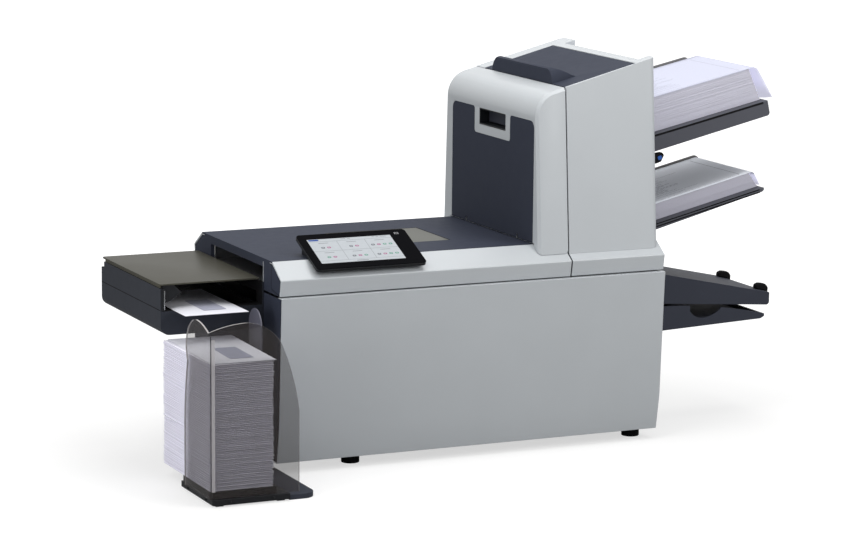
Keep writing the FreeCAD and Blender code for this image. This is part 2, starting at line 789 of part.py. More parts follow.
def make_base_pan():
    body = new_body("base_pan")
    inset = size.panel_wall + size.gap
    low = (inset, -size.bottom_out + inset)
    high = (size.body_length - inset, rear_face - inset)
    block(body, "XY", box_points(low, high), pan_low, pan_low + size.pan_flange)
    wall = size.sheet_wall
    cut(body, "XY", box_points((low[0] + wall, low[1] + wall), (high[0] - wall, high[1] - wall)),
        pan_low + wall, pan_low + size.pan_flange + 1)


def make_feet():
    body = new_body("feet")
    back = size.top_depth - size.foot_inset
    centres = [(x, y) for x in (size.foot_left, foot_right) for y in (size.foot_inset, back)]
    disc(body, "XY", centres, size.foot_radius, 0, pan_low)


def panel_outline(outer, inner_shift):
    """Sheet panel with turned edges: outer corners from top to bottom, and the way inwards."""
    wall = size.panel_wall * inner_shift
    edge = size.flange * inner_shift
    top, bottom = outer[0], outer[-1]
    inner = [(bottom[0] + edge, bottom[1]), (bottom[0] + edge, bottom[1] + size.panel_wall),
             (bottom[0] + wall, bottom[1] + size.panel_wall)]
    inner += [(y + wall, z) for y, z in reversed(outer[1:-1])]
    inner += [(top[0] + wall, top[1] - size.panel_wall), (top[0] + edge, top[1] - size.panel_wall),
              (top[0] + edge, top[1])]
    return outer + inner


def make_front_panel():
    body = new_body("front_panel")
    outer = [(-size.lip_out, lip_height),
             (-size.panel_crease_out, panel_crease_height),
             (-size.fold_out, size.fold_height),
             (-size.bottom_out, size.panel_bottom)]
    block(body, "YZ", panel_outline(outer, 1), 0, size.body_length)


def make_rear_panel():
    body = new_body("rear_panel")
    outer = [(rear_face, lip_height), (rear_face, size.panel_bottom)]
    block(body, "YZ", panel_outline(outer, -1), 0, size.body_length)
    through = (rear_face - size.panel_wall - 1, rear_face + 1)
    slot = cut(body, "XZ", box_points((vent_left, size.vent_low),
                                      (vent_left + size.vent_width,
                                       size.vent_low + size.vent_height)), *through)
    repeat(body, slot, "X_Axis", size.vent_pitch * (size.vent_count - 1), size.vent_count)
    cut(body, "XZ", box_points((inlet_left, size.inlet_low),
                               (inlet_left + size.inlet_width,
                                size.inlet_low + size.inlet_height)), *through)
    cut(body, "XZ", box_points((switch_left, size.inlet_low),
                               (switch_left + size.switch_width,
                                size.inlet_low + size.switch_height)), *through)


def side_outline():
    """Outline of the cabinet's end walls, just inside the front and rear panels."""
    inset = size.panel_wall + size.gap
    return [(-size.bottom_out + inset, pan_low),
            (rear_face - inset, pan_low),
            (rear_face - inset, lip_height - inset),
            (-size.lip_out + inset, lip_height - inset),
            (-size.panel_crease_out + inset, panel_crease_height),
            (-size.fold_out + inset, size.fold_height)]


def make_sides():
    left = new_body("left_side")
    block(left, "YZ", side_outline(), 0, size.panel_wall)
    cut(left, "YZ", box_points((size.mouth_front, mouth_low), (mouth_back, mouth_high)),
        -1, size.panel_wall + 1)
    right = new_body("right_side")
    start = size.body_length - size.panel_wall
    block(right, "YZ", side_outline(), start, size.body_length)
    cut(right, "YZ", box_points((size.table_front, well_high), (table_back, slot_high)),
        start - 1, size.body_length + 1)


def shaft_places():
    """Centres (x, z) of every shaft that the inner side plates carry."""
    return [(size.transport_at, transport_height),
            (fold_left, fold_height_at),
            (fold_left + fold_pitch, fold_height_at),
            (fold_left + fold_pitch, fold_height_at - fold_pitch),
            feed_centre(upper_tray_height, size.upper_tray_tilt, size.upper_load),
            feed_centre(lower_tray_height, size.lower_tray_tilt, size.lower_load)]


def feed_centre(height, tilt, load):
    """Centre (x, z) of the feed rollers, which rest on the stack near its inner end."""
    above = load + size.nip + size.feed_radius
    return (tray_start + size.feed_ahead * cosine(tilt) - above * sine(tilt),
            height + size.feed_ahead * sine(tilt) + above * cosine(tilt))


transport_height = deck_height + size.transport_rise - size.transport_radius
fold_pitch = 2 * size.fold_radius + size.gap
front_plate_inner = size.frame_front_at + size.sheet_wall
back_plate_inner = frame_back_at - size.sheet_wall


def make_frames():
    """Two upright side plates that carry the shafts, one in front and one behind the paper path."""
    inset = size.panel_wall + size.gap
    right = tower_right - 2 * size.skin - 2 * size.gap
    outline = [(inset + size.cheek_wall, pan_low + size.sheet_wall),
               (right, pan_low + size.sheet_wall),
               (right, roof_low + 10),
               (seam + size.skin + 6, roof_low - 20),
               (seam + size.skin + 6, frame_top),
               (inset + size.cheek_wall, frame_top)]
    for label, start, end in (("frame_front", size.frame_front_at, front_plate_inner),
                              ("frame_rear", back_plate_inner, frame_back_at)):
        body = new_body(label)
        block(body, "XZ", outline, start, end)
        half = size.shaft_radius + bore_play
        bore(body, "XZ", shaft_places(), half, start - 1, end + 1)
        # The transport shaft drops into a slot from above, the feed shafts into slots from the right
        transport, upper_feed, lower_feed = (shaft_places()[number] for number in (0, 4, 5))
        slot = box_points((transport[0] - half, transport[1]), (transport[0] + half, frame_top + 1))
        cut(body, "XZ", slot, start - 1, end + 1)
        for x, z in (upper_feed, lower_feed):
            cut(body, "XZ", box_points((x, z - half), (right + 1, z + half)), start - 1, end + 1)


# Tyre of the transport and idler shafts, and the stretch of each shaft past its side plate

transport_tyre = (middle - size.tyre_width / 2, middle + size.tyre_width / 2)
shaft_front = size.frame_front_at - size.shaft_end
shaft_back = frame_back_at + size.shaft_end


def make_transport_deck():
    body = new_body("transport_deck")
    left = 2 * size.cheek_wall
    right = seam - size.skin
    block(body, "XY", box_points((left, front_plate_inner), (right, back_plate_inner)),
          deck_height - size.sheet_wall, deck_height)
    start, end = transport_tyre[0] - size.slot_play, transport_tyre[1] + size.slot_play
    cut(body, "XY", box_points((size.transport_at - size.transport_radius, start),
                               (size.transport_at + size.transport_radius, end)),
        deck_height - size.sheet_wall - 1, deck_height + 1)


def make_transport_rollers():
    body = new_body("transport_rollers")
    outline = roller_outline((shaft_front, shaft_back), size.shaft_radius, [transport_tyre],
                             size.transport_radius)
    spin(body, "y", outline, (size.transport_at, transport_height))


def make_fold_rollers():
    """Three rollers that fold the sheets: a pair side by side and a third below the second."""
    centres = shaft_places()[1:4]
    span = (front_plate_inner + 2 * size.shaft_end, back_plate_inner - 2 * size.shaft_end)
    for number, centre in enumerate(centres, 1):
        body = new_body(f"fold_roller_{number}")
        outline = roller_outline((shaft_front, shaft_back), size.shaft_radius, [span], size.fold_radius)
        spin(body, "y", outline, centre)


def make_fold_plates():
    """Two flat pockets, one above and one below the fold rollers, that buckle the sheet."""
    body = new_body("fold_plates")
    wall = size.sheet_wall
    beside = size.fold_radius + size.plate_gap
    low = fold_height_at - fold_pitch / 2
    for start, way, height in ((fold_left + fold_pitch + beside, 1, low),
                               (fold_left - beside, -1, low - fold_pitch)):
        end = start + way * size.plate_reach
        bottom_end = end - way * wall
        slit_top = height + wall + size.plate_slit
        outline = [(start, height), (end, height), (end, slit_top + wall), (start, slit_top + wall),
                   (start, slit_top), (bottom_end, slit_top), (bottom_end, height + wall),
                   (start, height + wall)]
        block(body, "XZ", outline, front_plate_inner, back_plate_inner)


def make_motor():
    """Main motor behind the rear side plate, which takes the end of the third fold roller's shaft."""
    motor = new_body("main_motor")
    centre = shaft_places()[3]
    half, bevel = size.motor_half, size.motor_bevel
    section = [(centre[0] + x, centre[1] + z) for x, z in
               ((half, bevel - half), (half, half - bevel), (half - bevel, half), (bevel - half, half),
                (-half, half - bevel), (-half, bevel - half), (bevel - half, -half), (half - bevel, -half))]
    start = frame_back_at
    block(motor, "XZ", section, start, start + size.motor_length)
    bore(motor, "XZ", centre, size.shaft_radius + bore_play, start - 1, shaft_back + 1)


def make_electrics():
    supply = new_body("power_supply")
    low = (supply_left, supply_front)
    floor = pan_low + size.sheet_wall
    block(supply, "XY", box_points(low, (low[0] + size.supply_length, low[1] + size.supply_depth)),
          floor, floor + size.supply_height)
    inlet = new_body("power_inlet")
    flange = size.inlet_rim
    low = (inlet_left, size.inlet_low)
    high = (inlet_left + size.inlet_width, size.inlet_low + size.inlet_height)
    block(inlet, "XZ", box_points((low[0] + size.gap, low[1] + size.gap),
                                  (high[0] - size.gap, high[1] - size.gap)),
          rear_face - size.inlet_depth, rear_face)
    block(inlet, "XZ", box_points((low[0] - flange, low[1] - flange), (high[0] + flange, high[1] + flange)),
          rear_face, rear_face + size.panel_wall)
    wall = size.panel_wall
    cut(inlet, "XZ", box_points((low[0] + wall, low[1] + wall), (high[0] - wall, high[1] - wall)),
        rear_face - size.inlet_depth + 3 * wall, rear_face + wall + 1)
    switch = new_body("power_switch")
    centre = size.inlet_low + size.switch_height / 2
    left, right = switch_left + size.gap, switch_left + size.switch_width - size.gap
    half = size.switch_height / 2 - size.switch_play
    rocker = [(rear_face - 8, centre - half + 2), (rear_face + 1, centre - half),
              (rear_face + 1.5, centre), (rear_face + 4, centre + half), (rear_face - 8, centre + half - 3)]
    block(switch, "YZ", rocker, left, right)


# Opening cover

def front_cover_outline():
    """Bevelled front of the cover, with the ledge that carries the dark top."""
    wall = size.skin
    return [(0, size.top_height), (-size.crease_out, crease_height),
            (-size.cover_bottom_out, cover_bottom),
            (-size.cover_bottom_out + wall, cover_bottom),
            (-size.crease_out + wall, crease_height - wall / 2),
            (0, top_under - wall / 2), (size.ledge, top_under - wall / 2),
            (size.ledge, top_under), (0, top_under)]


def make_cover_front():
    body = new_body("cover_front")
    block(body, "YZ", front_cover_outline(), 0, cover_end)
    round_edges(body, size.skin, edges_along("x", [(-size.crease_out, crease_height)]))


def hinge_lug_places():
    """Place along x of the lug on the inner side of each hinge bracket."""
    first = size.bracket_left + size.bracket_wall + size.lug_play
    last = bracket_right - size.lug_play
    return (first, first + size.lug_wall), (last - size.lug_wall, last)


def make_cover_rear():
    body = new_body("cover_rear")
    block(body, "YZ", mirrored(front_cover_outline()), 0, cover_end)
    eye = size.hinge_eye
    low, high = hinge_back - eye, hinge_back + eye
    inner_height = bevel_height(-(low - size.top_depth)) - size.skin
    lug = [(low, hinge_height - eye), (high, hinge_height - eye),
           (high, crease_height - 1), (low, inner_height)]
    for start, end in hinge_lug_places():
        block(body, "YZ", lug, start, end)
        bore(body, "YZ", (hinge_back, hinge_height), size.hinge_pin + bore_play,
             start - 1, end + 1)
    room = box_points((low, cover_bottom - 1), (rear_face + 4, crease_height - size.skin))
    for left in (size.bracket_left, bracket_right):
        cut(body, "YZ", room, left - size.lug_play, left + size.bracket_wall + size.lug_play)
    round_edges(body, size.skin, edges_along("x", [(size.top_depth + size.crease_out,
                                                    crease_height)]))


def pin_reach(left, lug):
    """Stretch of a hinge pin from inside its bracket through the lug beside it."""
    if lug[0].number > left.number:
        return left + 1, lug[1] + size.lug_play
    return lug[0] - size.lug_play, left + size.bracket_wall - 1


def make_cover_hinge():
    """Brackets on the rear panel with the pins that the cover turns on."""
    body = new_body("cover_hinge")
    eye = size.hinge_eye
    foot = lip_height
    y, z = hinge_back, hinge_height
    leg = [(y - eye, foot), (y + eye / 2, foot), (y + eye / 2, z), (y + 1.5, z + 2.5), (y - 1, z + 3.8),
           (y - 4.5, z + 2.5), (y - eye, z)]
    for left, lug in zip((size.bracket_left, bracket_right), hinge_lug_places()):
        block(body, "YZ", leg, left, left + size.bracket_wall)
        disc(body, "YZ", (y, z), size.hinge_pin, *pin_reach(left, lug))


def make_cover_top():
    body = new_body("cover_top")
    block(body, "XY", box_points((0, size.gap), (cover_end, size.top_depth - size.gap)),
          top_under, size.top_height)
    low, high = (size.window_left, size.window_front), (size.window_right, window_back)
    edge = size.window_ledge
    cut(body, "XY", box_points((low[0] + edge, low[1] + edge), (high[0] - edge, high[1] - edge)),
        top_under - 1, size.top_height + 1)
    cut(body, "XY", box_points(low, high), size.top_height - size.pane_wall, size.top_height + 1)


def make_window_pane():
    body = new_body("window_pane")
    low = (size.window_left + size.gap, size.window_front + size.gap)
    high = (size.window_right - size.gap, window_back - size.gap)
    block(body, "XY", box_points(low, high), size.top_height - size.pane_wall, size.top_height)


def make_end_cheek():
    """Dark plate that closes the left end of the cover, with the throat over the exit unit."""
    body = new_body("end_cheek")
    wall = size.skin + size.gap
    front = [(size.ledge + size.gap, top_under), (size.ledge + size.gap, top_under - size.skin),
             (0, top_under - size.skin), (-size.crease_out + wall + 1, crease_height - wall),
             (-size.cover_bottom_out + wall, cover_bottom)]
    outline = front + list(reversed(mirrored(front)))
    block(body, "YZ", outline, size.gap, size.gap + size.cheek_wall)
    throat = box_points((size.throat_front, throat_low), (throat_back, throat_high))
    cut(body, "YZ", throat, -1, size.cheek_wall + 1)
    corners = [(y, z) for y in (size.throat_front, throat_back)
               for z in (throat_low, throat_high)]
    round_edges(body, size.throat_round, edges_along("x", corners))


def make_press_frame():
    """Channel under the dark top that presses the envelopes on the transport rollers."""
    body = new_body("press_frame")
    front, back = front_plate_inner + 4, back_plate_inner - 4
    wall = size.sheet_wall
    left, right = size.gap + size.cheek_wall, seam - 2 * size.skin
    channel = [(front, press_low), (back, press_low), (back, top_under),
               (back - wall, top_under), (back - wall, press_low + wall),
               (front + wall, press_low + wall), (front + wall, top_under), (front, top_under)]
    block(body, "YZ", channel, left, right)
    start, end = transport_tyre[0] - size.slot_play, transport_tyre[1] + size.slot_play
    cut(body, "XY", box_points((size.transport_at - size.idler_radius - 1, start),
                               (size.transport_at + size.idler_radius + 1, end)),
        press_low - 1, press_low + wall + 1)
    bore(body, "XZ", (size.transport_at, idler_height), size.skin + bore_play, front - 1, back + 1)


idler_height = deck_height + size.transport_rise + size.nip + size.idler_radius


def make_idler_rollers():
    body = new_body("idler_rollers")
    ends = (front_plate_inner + 2, back_plate_inner - 2)
    outline = roller_outline(ends, size.skin, [transport_tyre], size.idler_radius)
    spin(body, "y", outline, (size.transport_at, idler_height))


# Touch screen

def in_screen_frame(y, z):
    """Place (y, z) on the machine, told in the screen's tilted frame."""
    run = y + size.screen_front
    rise = z - screen_low
    return (run * cosine(size.screen_tilt) + rise * sine(size.screen_tilt),
            rise * cosine(size.screen_tilt) - run * sine(size.screen_tilt))


def make_screen():
    """Glass on its housing, with a wedge whose foot is the level dark top."""
    at = (size.screen_left, -size.screen_front, screen_low)
    turn = (AXES["x"], size.screen_tilt)
    corners = [(x, y) for x in (0, size.screen_width) for y in (0, size.screen_length)]
    rounded = edges_along("z", corners)
    glass = new_body("screen_glass", at, turn)
    block(glass, "XY", box_points((0, 0), (size.screen_width, size.screen_length)), -size.glass_thick, 0)
    round_edges(glass, size.screen_round, rounded)
    housing = new_body("screen_housing", at, turn)
    block(housing, "XY", box_points((0, 0), (size.screen_width, size.screen_length)),
          -size.screen_thick, -size.glass_thick)
    round_edges(housing, size.screen_round, rounded)
    rise = size.screen_thick / cosine(size.screen_tilt) + size.top_height - screen_low
    toe = rise / tangent(size.screen_tilt) - size.screen_front
    heel = in_screen_frame(size.wedge_back, size.top_height)
    wedge = [in_screen_frame(toe, size.top_height), heel, (heel[0] + size.wedge_lap, -size.screen_thick)]
    block(housing, "YZ", wedge, size.wedge_inset, size.screen_width - size.wedge_inset)


# Tower

roof_slope = tangent(size.roof_tilt)
tower_high = size.top_height + roof_low


def roof_height(x):
    return roof_low + (x - lid_left) * roof_slope


def tower_section(rise):
    """Leaning section of the tower over the bevelled cover; rise is the gap below it."""
    front, back = ([(0, size.top_height + rise),
                    (-out, bevel_height(-out) + rise),
                    (-out + (tower_high - bevel_height(-out) - rise) * tangent(lean), tower_high)]
                   for out, lean in ((foot_out, size.lean), (back_foot_out, size.back_lean)))
    return front + list(reversed(mirrored(back)))


def tower_blank(label, left, right, rise):
    """Solid of the tower between two upright planes, under the sloping roof."""
    body = new_body(label)
    block(body, "YZ", tower_section(rise), left, right)
    cut(body, "XZ", [(left - 1, roof_height(left - 1)), (right + 1, roof_height(right + 1)),
                     (right + 1, tower_high + 1), (left - 1, tower_high + 1)],
        -foot_out - 1, size.top_depth + back_foot_out + 1)
    return body


def upright_corners(x):
    """Chooser of the two leaning upright edges of the tower at a place along x."""
    def chosen(edge):
        if len(edge.Vertexes) != 2:
            return False
        ends = [vertex.Point for vertex in edge.Vertexes]
        rise = abs(ends[0].z - ends[1].z)
        return all(abs(end.x - x.number) < 0.05 for end in ends) and rise > size.shoulder.number
    return chosen


def open_faces(seam_x, rise):
    """Chooser of the seam face and the three faces at the foot of the tower."""
    def chosen(face):
        box = face.BoundBox
        at_seam = box.XLength < 0.01 and abs(box.XMin - seam_x.number) < 0.01
        at_foot = box.ZMax < (size.top_height + rise).number + 0.01
        return at_seam or at_foot
    return chosen


def door_outline(inset):
    """Outline (y, z) of the dark inset around the light surround of the handle."""
    low = size.top_height + size.door_rise + size.gap + inset
    return [(inset, low), (size.top_depth - inset, low),
            (size.top_depth - inset, inset_top - inset),
            (notch_back + inset, inset_top - inset),
            (notch_back + inset, notch_low - inset),
            (size.notch_front - inset, notch_low - inset),
            (size.notch_front - inset, inset_top - inset),
            (inset, inset_top - inset)]


door_x = tower_left + size.door_axis
door_z = size.top_height + size.door_rise + size.door_axis


def knuckle_places():
    """Stretches along y of the knuckle on the inner side of each lug."""
    first = size.door_lug_front + size.door_lug + size.knuckle_gap
    last = door_lug_back - size.knuckle_gap
    return (first, first + size.knuckle), (last - size.knuckle, last)


def cut_lug_room(body):
    """Room in the door for the lugs that carry its pins."""
    side = size.lug_play
    for start in (size.door_lug_front, door_lug_back):
        cut(body, "XY", box_points((tower_left - 1, start - side),
                                   (door_x + size.door_axis + 1, start + size.door_lug + side)),
            size.top_height, door_z + size.door_axis + 1)


def cut_toe(body):
    """Bevel of the lower left edge, which turns closely over the dark top."""
    low = size.top_height + size.door_rise
    reach = size.toe_reach
    left = tower_left - 1
    toe = [(left, low - reach), (tower_left + size.door_toe + reach, low - reach),
           (left, low + size.door_toe + 1)]
    cut(body, "XZ", toe, -reach, size.top_depth + reach)


def make_door():
    rise = size.door_rise
    body = tower_blank("door_shell", tower_left, cover_end, rise)
    round_edges(body, size.shoulder, edges_along("y", [(tower_left, roof_height(tower_left))]))
    hollow(body, size.skin, open_faces(cover_end, rise))
    bevel_edges(body, size.door_bevel, corner_chain)
    for start, end in knuckle_places():
        block(body, "XZ", box_points((tower_left + 1, size.top_height + rise),
                                     (door_x + size.door_axis, door_z + size.door_axis)), start, end)
        bore(body, "XZ", (door_x, door_z), size.door_pin + bore_play, start - 1, end + 1)
    cut(body, "YZ", door_outline(0), tower_left - 1, tower_left + size.inset_depth)
    round_inset(body, 0)
    cut_lug_room(body)
    cut(body, "YZ", box_points((size.grip_hole_front, grip_hole_low),
                               (grip_hole_back, grip_hole_high)),
        tower_left - 1, tower_left + size.skin + 1)
    cut_toe(body)
    cut(body, "XZ", seam_relief(), -foot_out - 1, 0)
    cut(body, "XZ", seam_relief(), size.top_depth, size.top_depth + back_foot_out + 1)


def seam_relief():
    """Bevel at the foot of the seam, inside the circle about the hinge that just clears the tower."""
    radius = tower_start - door_x - size.gap
    across = cover_end - door_x
    high = door_z - root(radius * radius - across * across)
    low = bevel_height(-back_foot_out)
    drop = door_z - low
    reach = door_x + root(radius * radius - drop * drop)
    return [(reach, low), (cover_end + 1, low), (cover_end + 1, high), (cover_end, high)]


def round_inset(body, inset):
    """Round the corners of the dark inset, or of the recess that holds it."""
    top = inset_top - inset
    round_edges(body, size.inset_round, edges_along("x", [(inset, top), (size.top_depth - inset, top)]))
    beside = [(y, z) for y in (size.notch_front - inset, notch_back + inset)
              for z in (notch_low - inset, top)]
    round_edges(body, size.notch_round, edges_along("x", beside))


def corner_chain(edge):
    """Front and back edges of the door's left face, up and round the shoulder."""
    box = edge.BoundBox
    side = abs(box.XMin - tower_left.number) < 0.05
    return side and box.ZLength > size.shoulder.number / 2 and box.ZLength > 2 * box.YLength


def make_door_panel():
    body = new_body("door_panel")
    block(body, "YZ", door_outline(size.gap), tower_left, tower_left + size.inset_depth)
    round_inset(body, size.gap)
    cut_lug_room(body)
    cut_toe(body)


def make_handle_cup():
    body = new_body("handle_cup")
    gap, wall = size.gap, size.cup_wall
    low = (size.grip_hole_front + gap, grip_hole_low + gap)
    high = (grip_hole_back - gap, grip_hole_high - gap)
    start, end = tower_left + 0.5, tower_left + size.cup_depth
    block(body, "YZ", box_points(low, high), start, end)
    block(body, "YZ", box_points((low[0] - 3, low[1] - 3), (high[0] + 3, high[1] + 3)),
          tower_left + size.skin, tower_left + size.skin + wall)
    cut(body, "YZ", box_points((low[0] + wall, low[1] + wall), (high[0] - wall, high[1] - wall)),
        start - 1, end - wall)


def make_door_latch():
    """Paddle inside the handle cup that is pulled to release the door."""
    body = new_body("door_latch")
    gap, wall = size.gap, size.cup_wall
    front = size.grip_hole_front + gap + wall + gap
    back = grip_hole_back - gap - wall - gap
    low = grip_hole_low + gap + wall + 2
    left = latch_x - 2
    block(body, "XZ", [(left, low), (left + 3, low), (latch_x + 2, latch_z), (latch_x + 2, latch_z + 2),
                       (latch_x - 2, latch_z + 2), (left, latch_z)], front, back)


latch_x = tower_left + size.cup_depth - 9
latch_z = grip_hole_high - size.cup_wall - 4.5


def make_door_hinge():
    """Lugs on the dark top with the pins that the door turns on."""
    body = new_body("door_hinge")
    half = size.door_pin
    first, last = knuckle_places()
    for start, pin_start, pin_end in ((size.door_lug_front, size.door_lug_front + 1, first[1]),
                                      (door_lug_back, last[0], door_lug_back + size.door_lug - 1)):
        block(body, "XZ", box_points((door_x - half, size.top_height), (door_x + half, door_z + half)),
              start, start + size.door_lug)
        disc(body, "XZ", (door_x, door_z), size.door_pin, pin_start, pin_end)


def make_tower_base():
    """Fixed light cover under the tower, closed at its right end."""
    body = new_body("tower_base_cover")
    outer = [(0, size.top_height), (-size.crease_out, crease_height),
             (-size.cover_bottom_out, cover_bottom)]
    wall = size.skin
    inner = [(wall / 2, top_under), (-size.crease_out + wall, crease_height - wall / 2),
             (-size.cover_bottom_out + wall, cover_bottom - 1)]
    block(body, "YZ", outer + list(reversed(mirrored(outer))), tower_start, size.body_length)
    cut(body, "YZ", inner + list(reversed(mirrored(inner))), tower_start - 1, size.body_length - wall)
    edge = 2 * size.skin
    cut(body, "XY", box_points((tower_start + edge, edge), (tower_right - edge, size.top_depth - edge)),
        top_under - 1, size.top_height + 1)
    cut(body, "XY", box_points((tower_right - 8, size.feeder_front),
                               (size.body_length + 1, feeder_back)),
        lower_slot_low, size.top_height + 1)
    round_edges(body, wall, edges_along("x", [(-size.crease_out, crease_height),
                                              (size.top_depth + size.crease_out, crease_height)]))


lid_front = size.lid_inset
lid_back = size.top_depth - size.lid_back_inset
lid_axis_run = size.lid_length - size.lid_axis_in
lid_axis_drop = size.lid_wall + 1


def lid_place(run, drop):
    """Place (x, z) of a point on the lid from its left edge, along the slope and below it."""
    return (lid_left + run * cosine(size.roof_tilt) + drop * sine(size.roof_tilt),
            roof_low + run * sine(size.roof_tilt) - drop * cosine(size.roof_tilt))


def make_tower_shell():
    body = tower_blank("tower_shell", tower_start, tower_right, size.gap)
    cut(body, "XY", box_points((roof_end, size.horn_front), (tower_right + 1, horn_back)),
        roof_height(roof_end) - size.horn_rise, tower_high)
    round_edges(body, size.tower_corner, upright_corners(tower_right))
    hollow(body, size.skin, open_faces(tower_start, size.gap))
    lid_end = lid_place(size.lid_length + size.lid_play, 0)
    cut(body, "XY", box_points((tower_start - 1, lid_front), (lid_end[0], lid_back)),
        roof_low - 10, tower_high)
    # Pads inside the front and back walls that hold the lid's pins
    axis = lid_place(lid_axis_run, lid_axis_drop)
    half, deep = size.lid_pad_half, size.lid_pad_deep
    pad = box_points((axis[0] - half, axis[1] - half), (axis[0] + half, axis[1] + size.lid_pin))
    block(body, "XZ", pad, lid_front - deep, lid_front - size.gap)
    block(body, "XZ", pad, lid_back + size.gap, lid_back + deep)
    bore(body, "XZ", axis, size.lid_pin + bore_play, lid_front - deep + 1, lid_front + 1)
    bore(body, "XZ", axis, size.lid_pin + bore_play, lid_back - 1, lid_back + deep - 1)
    for low, high in ((upper_slot_low, upper_slot_high),
                      (lower_slot_low, lower_slot_high)):
        cut(body, "YZ", box_points((size.feeder_front, low), (feeder_back, high)),
            tower_right - 2 * size.skin, tower_right + 1)


def make_tower_lid():
    """Sloping lid with a raised grip along its left edge, drawn in its own tilted frame."""
    body = new_body("tower_lid", (lid_left, 0, roof_low), (Vector(0, -1, 0), size.roof_tilt))
    front, back = lid_front + size.gap, lid_back - size.gap
    start = size.lid_slot
    block(body, "XY", box_points((start, front), (size.lid_length, back)), -size.lid_wall, 0)
    rise, run, wall, fall = size.grip_rise, size.grip_length, size.lid_wall, size.grip_fall
    lean = rise * roof_slope
    arch = -4 * rise
    crest = start + lean + size.hood_run
    hood = [(start, -0.01), (start + lean, rise), (crest, rise + 0.5, arch), (run - 8, 5), (run, -0.01)]
    block(body, "XZ", hood, size.grip_front, grip_back)
    # Rounded fall of the grip at both ends
    for end, way in ((size.grip_front, 1), (grip_back, -1)):
        corner = [(end - way, 0), (end, 0, -way * 1.3 * fall), (end + way * fall, rise + 1),
                  (end - way, rise + 1)]
        cut(body, "YZ", corner, start - 1, run + 1)
    inner = run - size.hood_lip
    room = [(start + wall, -wall - 1), (start + wall + lean, rise - wall), (crest, rise - wall, arch),
            (inner, wall), (inner, -wall - 1)]
    cut(body, "XZ", room, size.grip_front + fall, grip_back - fall)
    half = size.lid_boss_half
    boss = box_points((lid_axis_run - half, -lid_axis_drop - half), (lid_axis_run + half, -size.lid_wall))
    for start, end in ((front, front + size.lid_boss), (back - size.lid_boss, back)):
        block(body, "XZ", boss, start, end)
    axis = (lid_axis_run, -lid_axis_drop)
    disc(body, "XZ", axis, size.lid_pin, front - 2, front + 1)
    disc(body, "XZ", axis, size.lid_pin, back - 1, back + 2)


# Sheet feeders

UPHILL = Vector(0, -1, 0)


def tray_body(label, height, tilt):
    return new_body(label, (tray_start, 0, height), (UPHILL, tilt))


def make_tray(label, height, tilt, length, rail, rail_end):
    """Tray with deep side rails and a rounded free end."""
    body = tray_body(label, height, tilt)
    bend = size.tray_end_round
    profile = [(0, 0), (0, -rail), (length - bend, -rail_end, bend), (length, bend - rail_end), (length, 0)]
    block(body, "XZ", profile, size.tray_front, tray_back)
    wall = size.tray_wall
    inner = length - size.tray_end_room
    room = [(-1, -wall), (-1, -rail - 1), (inner, -rail_end - 1), (inner, -wall)]
    cut(body, "XZ", room, size.tray_front + wall, tray_back - wall)


def make_side_guide(label, height, tilt, end, load):
    """Upright side guide behind the stack, on a foot that slides across the tray."""
    body = tray_body(label, height, tilt)
    face = middle + size.sheet_width / 2 + size.gap
    top = load + size.guide_rise
    start = size.guide_start
    block(body, "XZ", box_points((start, size.gap), (end, top)), face, face + size.guide_wall)
    round_edges(body, size.guide_round, edges_along("y", [(end, top)]))
    block(body, "XY", box_points((start, face), (end - size.guide_foot_short, face + size.guide_foot)),
          size.gap, size.gap + size.guide_wall)


def make_sheets(label, height, tilt, load):
    body = tray_body(label, height, tilt)
    low = size.gap / 2
    start = size.stack_start
    end = start + size.sheet_length
    profile = [(start, low), (end, low), (end - size.stack_lean * 0.4, load / 2),
               (end - size.stack_lean, load), (start - size.stack_lean, load)]
    block(body, "XZ", profile, middle - size.sheet_width / 2, middle + size.sheet_width / 2)


def make_feed_rollers(label, height, tilt, load):
    body = new_body(label)
    span = (middle - size.feed_tyre / 2, middle + size.feed_tyre / 2)
    outline = roller_outline((shaft_front, shaft_back), size.shaft_radius, [span], size.feed_radius)
    spin(body, "y", outline, feed_centre(height, tilt, load))


def lever_arm(x, z, reach):
    """Arm that leaves its hub and ends in a wedge-shaped grip."""
    hub = size.lever_hub
    return [(x, z - hub), (x + reach - 16, z - 7), (x + reach - 6, z - 4), (x + reach, z + 8),
            (x + reach - 4, z + 13), (x + reach - 18, z + 11), (x + reach - 20, z + hub - 2), (x, z + hub)]


def lever_key(x, z, reach):
    """Short straight key with cut corners."""
    hub, bevel = size.lever_hub, size.lever_bevel
    low, high, left, right = z - hub, z + hub, x - hub, x + reach
    return [(left, low + bevel), (left + bevel, low), (right, low), (right, high - bevel),
            (right - bevel, high), (left + bevel, high), (left, high - bevel)]


def lever_places():
    return (("upper_lever", tower_right, upper_lever_height, size.upper_lever_reach),
            ("lower_lever", size.body_length, lower_lever_height, size.lower_lever_reach))


def make_levers():
    for label, wall_x, height, reach in lever_places():
        body = new_body(label)
        x = wall_x + size.lever_pivot
        hub = size.lever_hub
        front, back = size.lever_front, size.lever_front + size.lever_width
        if label == "upper_lever":
            block(body, "XZ", lever_arm(x, height, reach), front, back)
            disc(body, "XZ", (x, height), hub, front, back)
        else:
            block(body, "XZ", lever_key(x, height, reach), front, back)
        bore(body, "XZ", (x, height), size.lever_pin + bore_play, front - 1, back + 1)


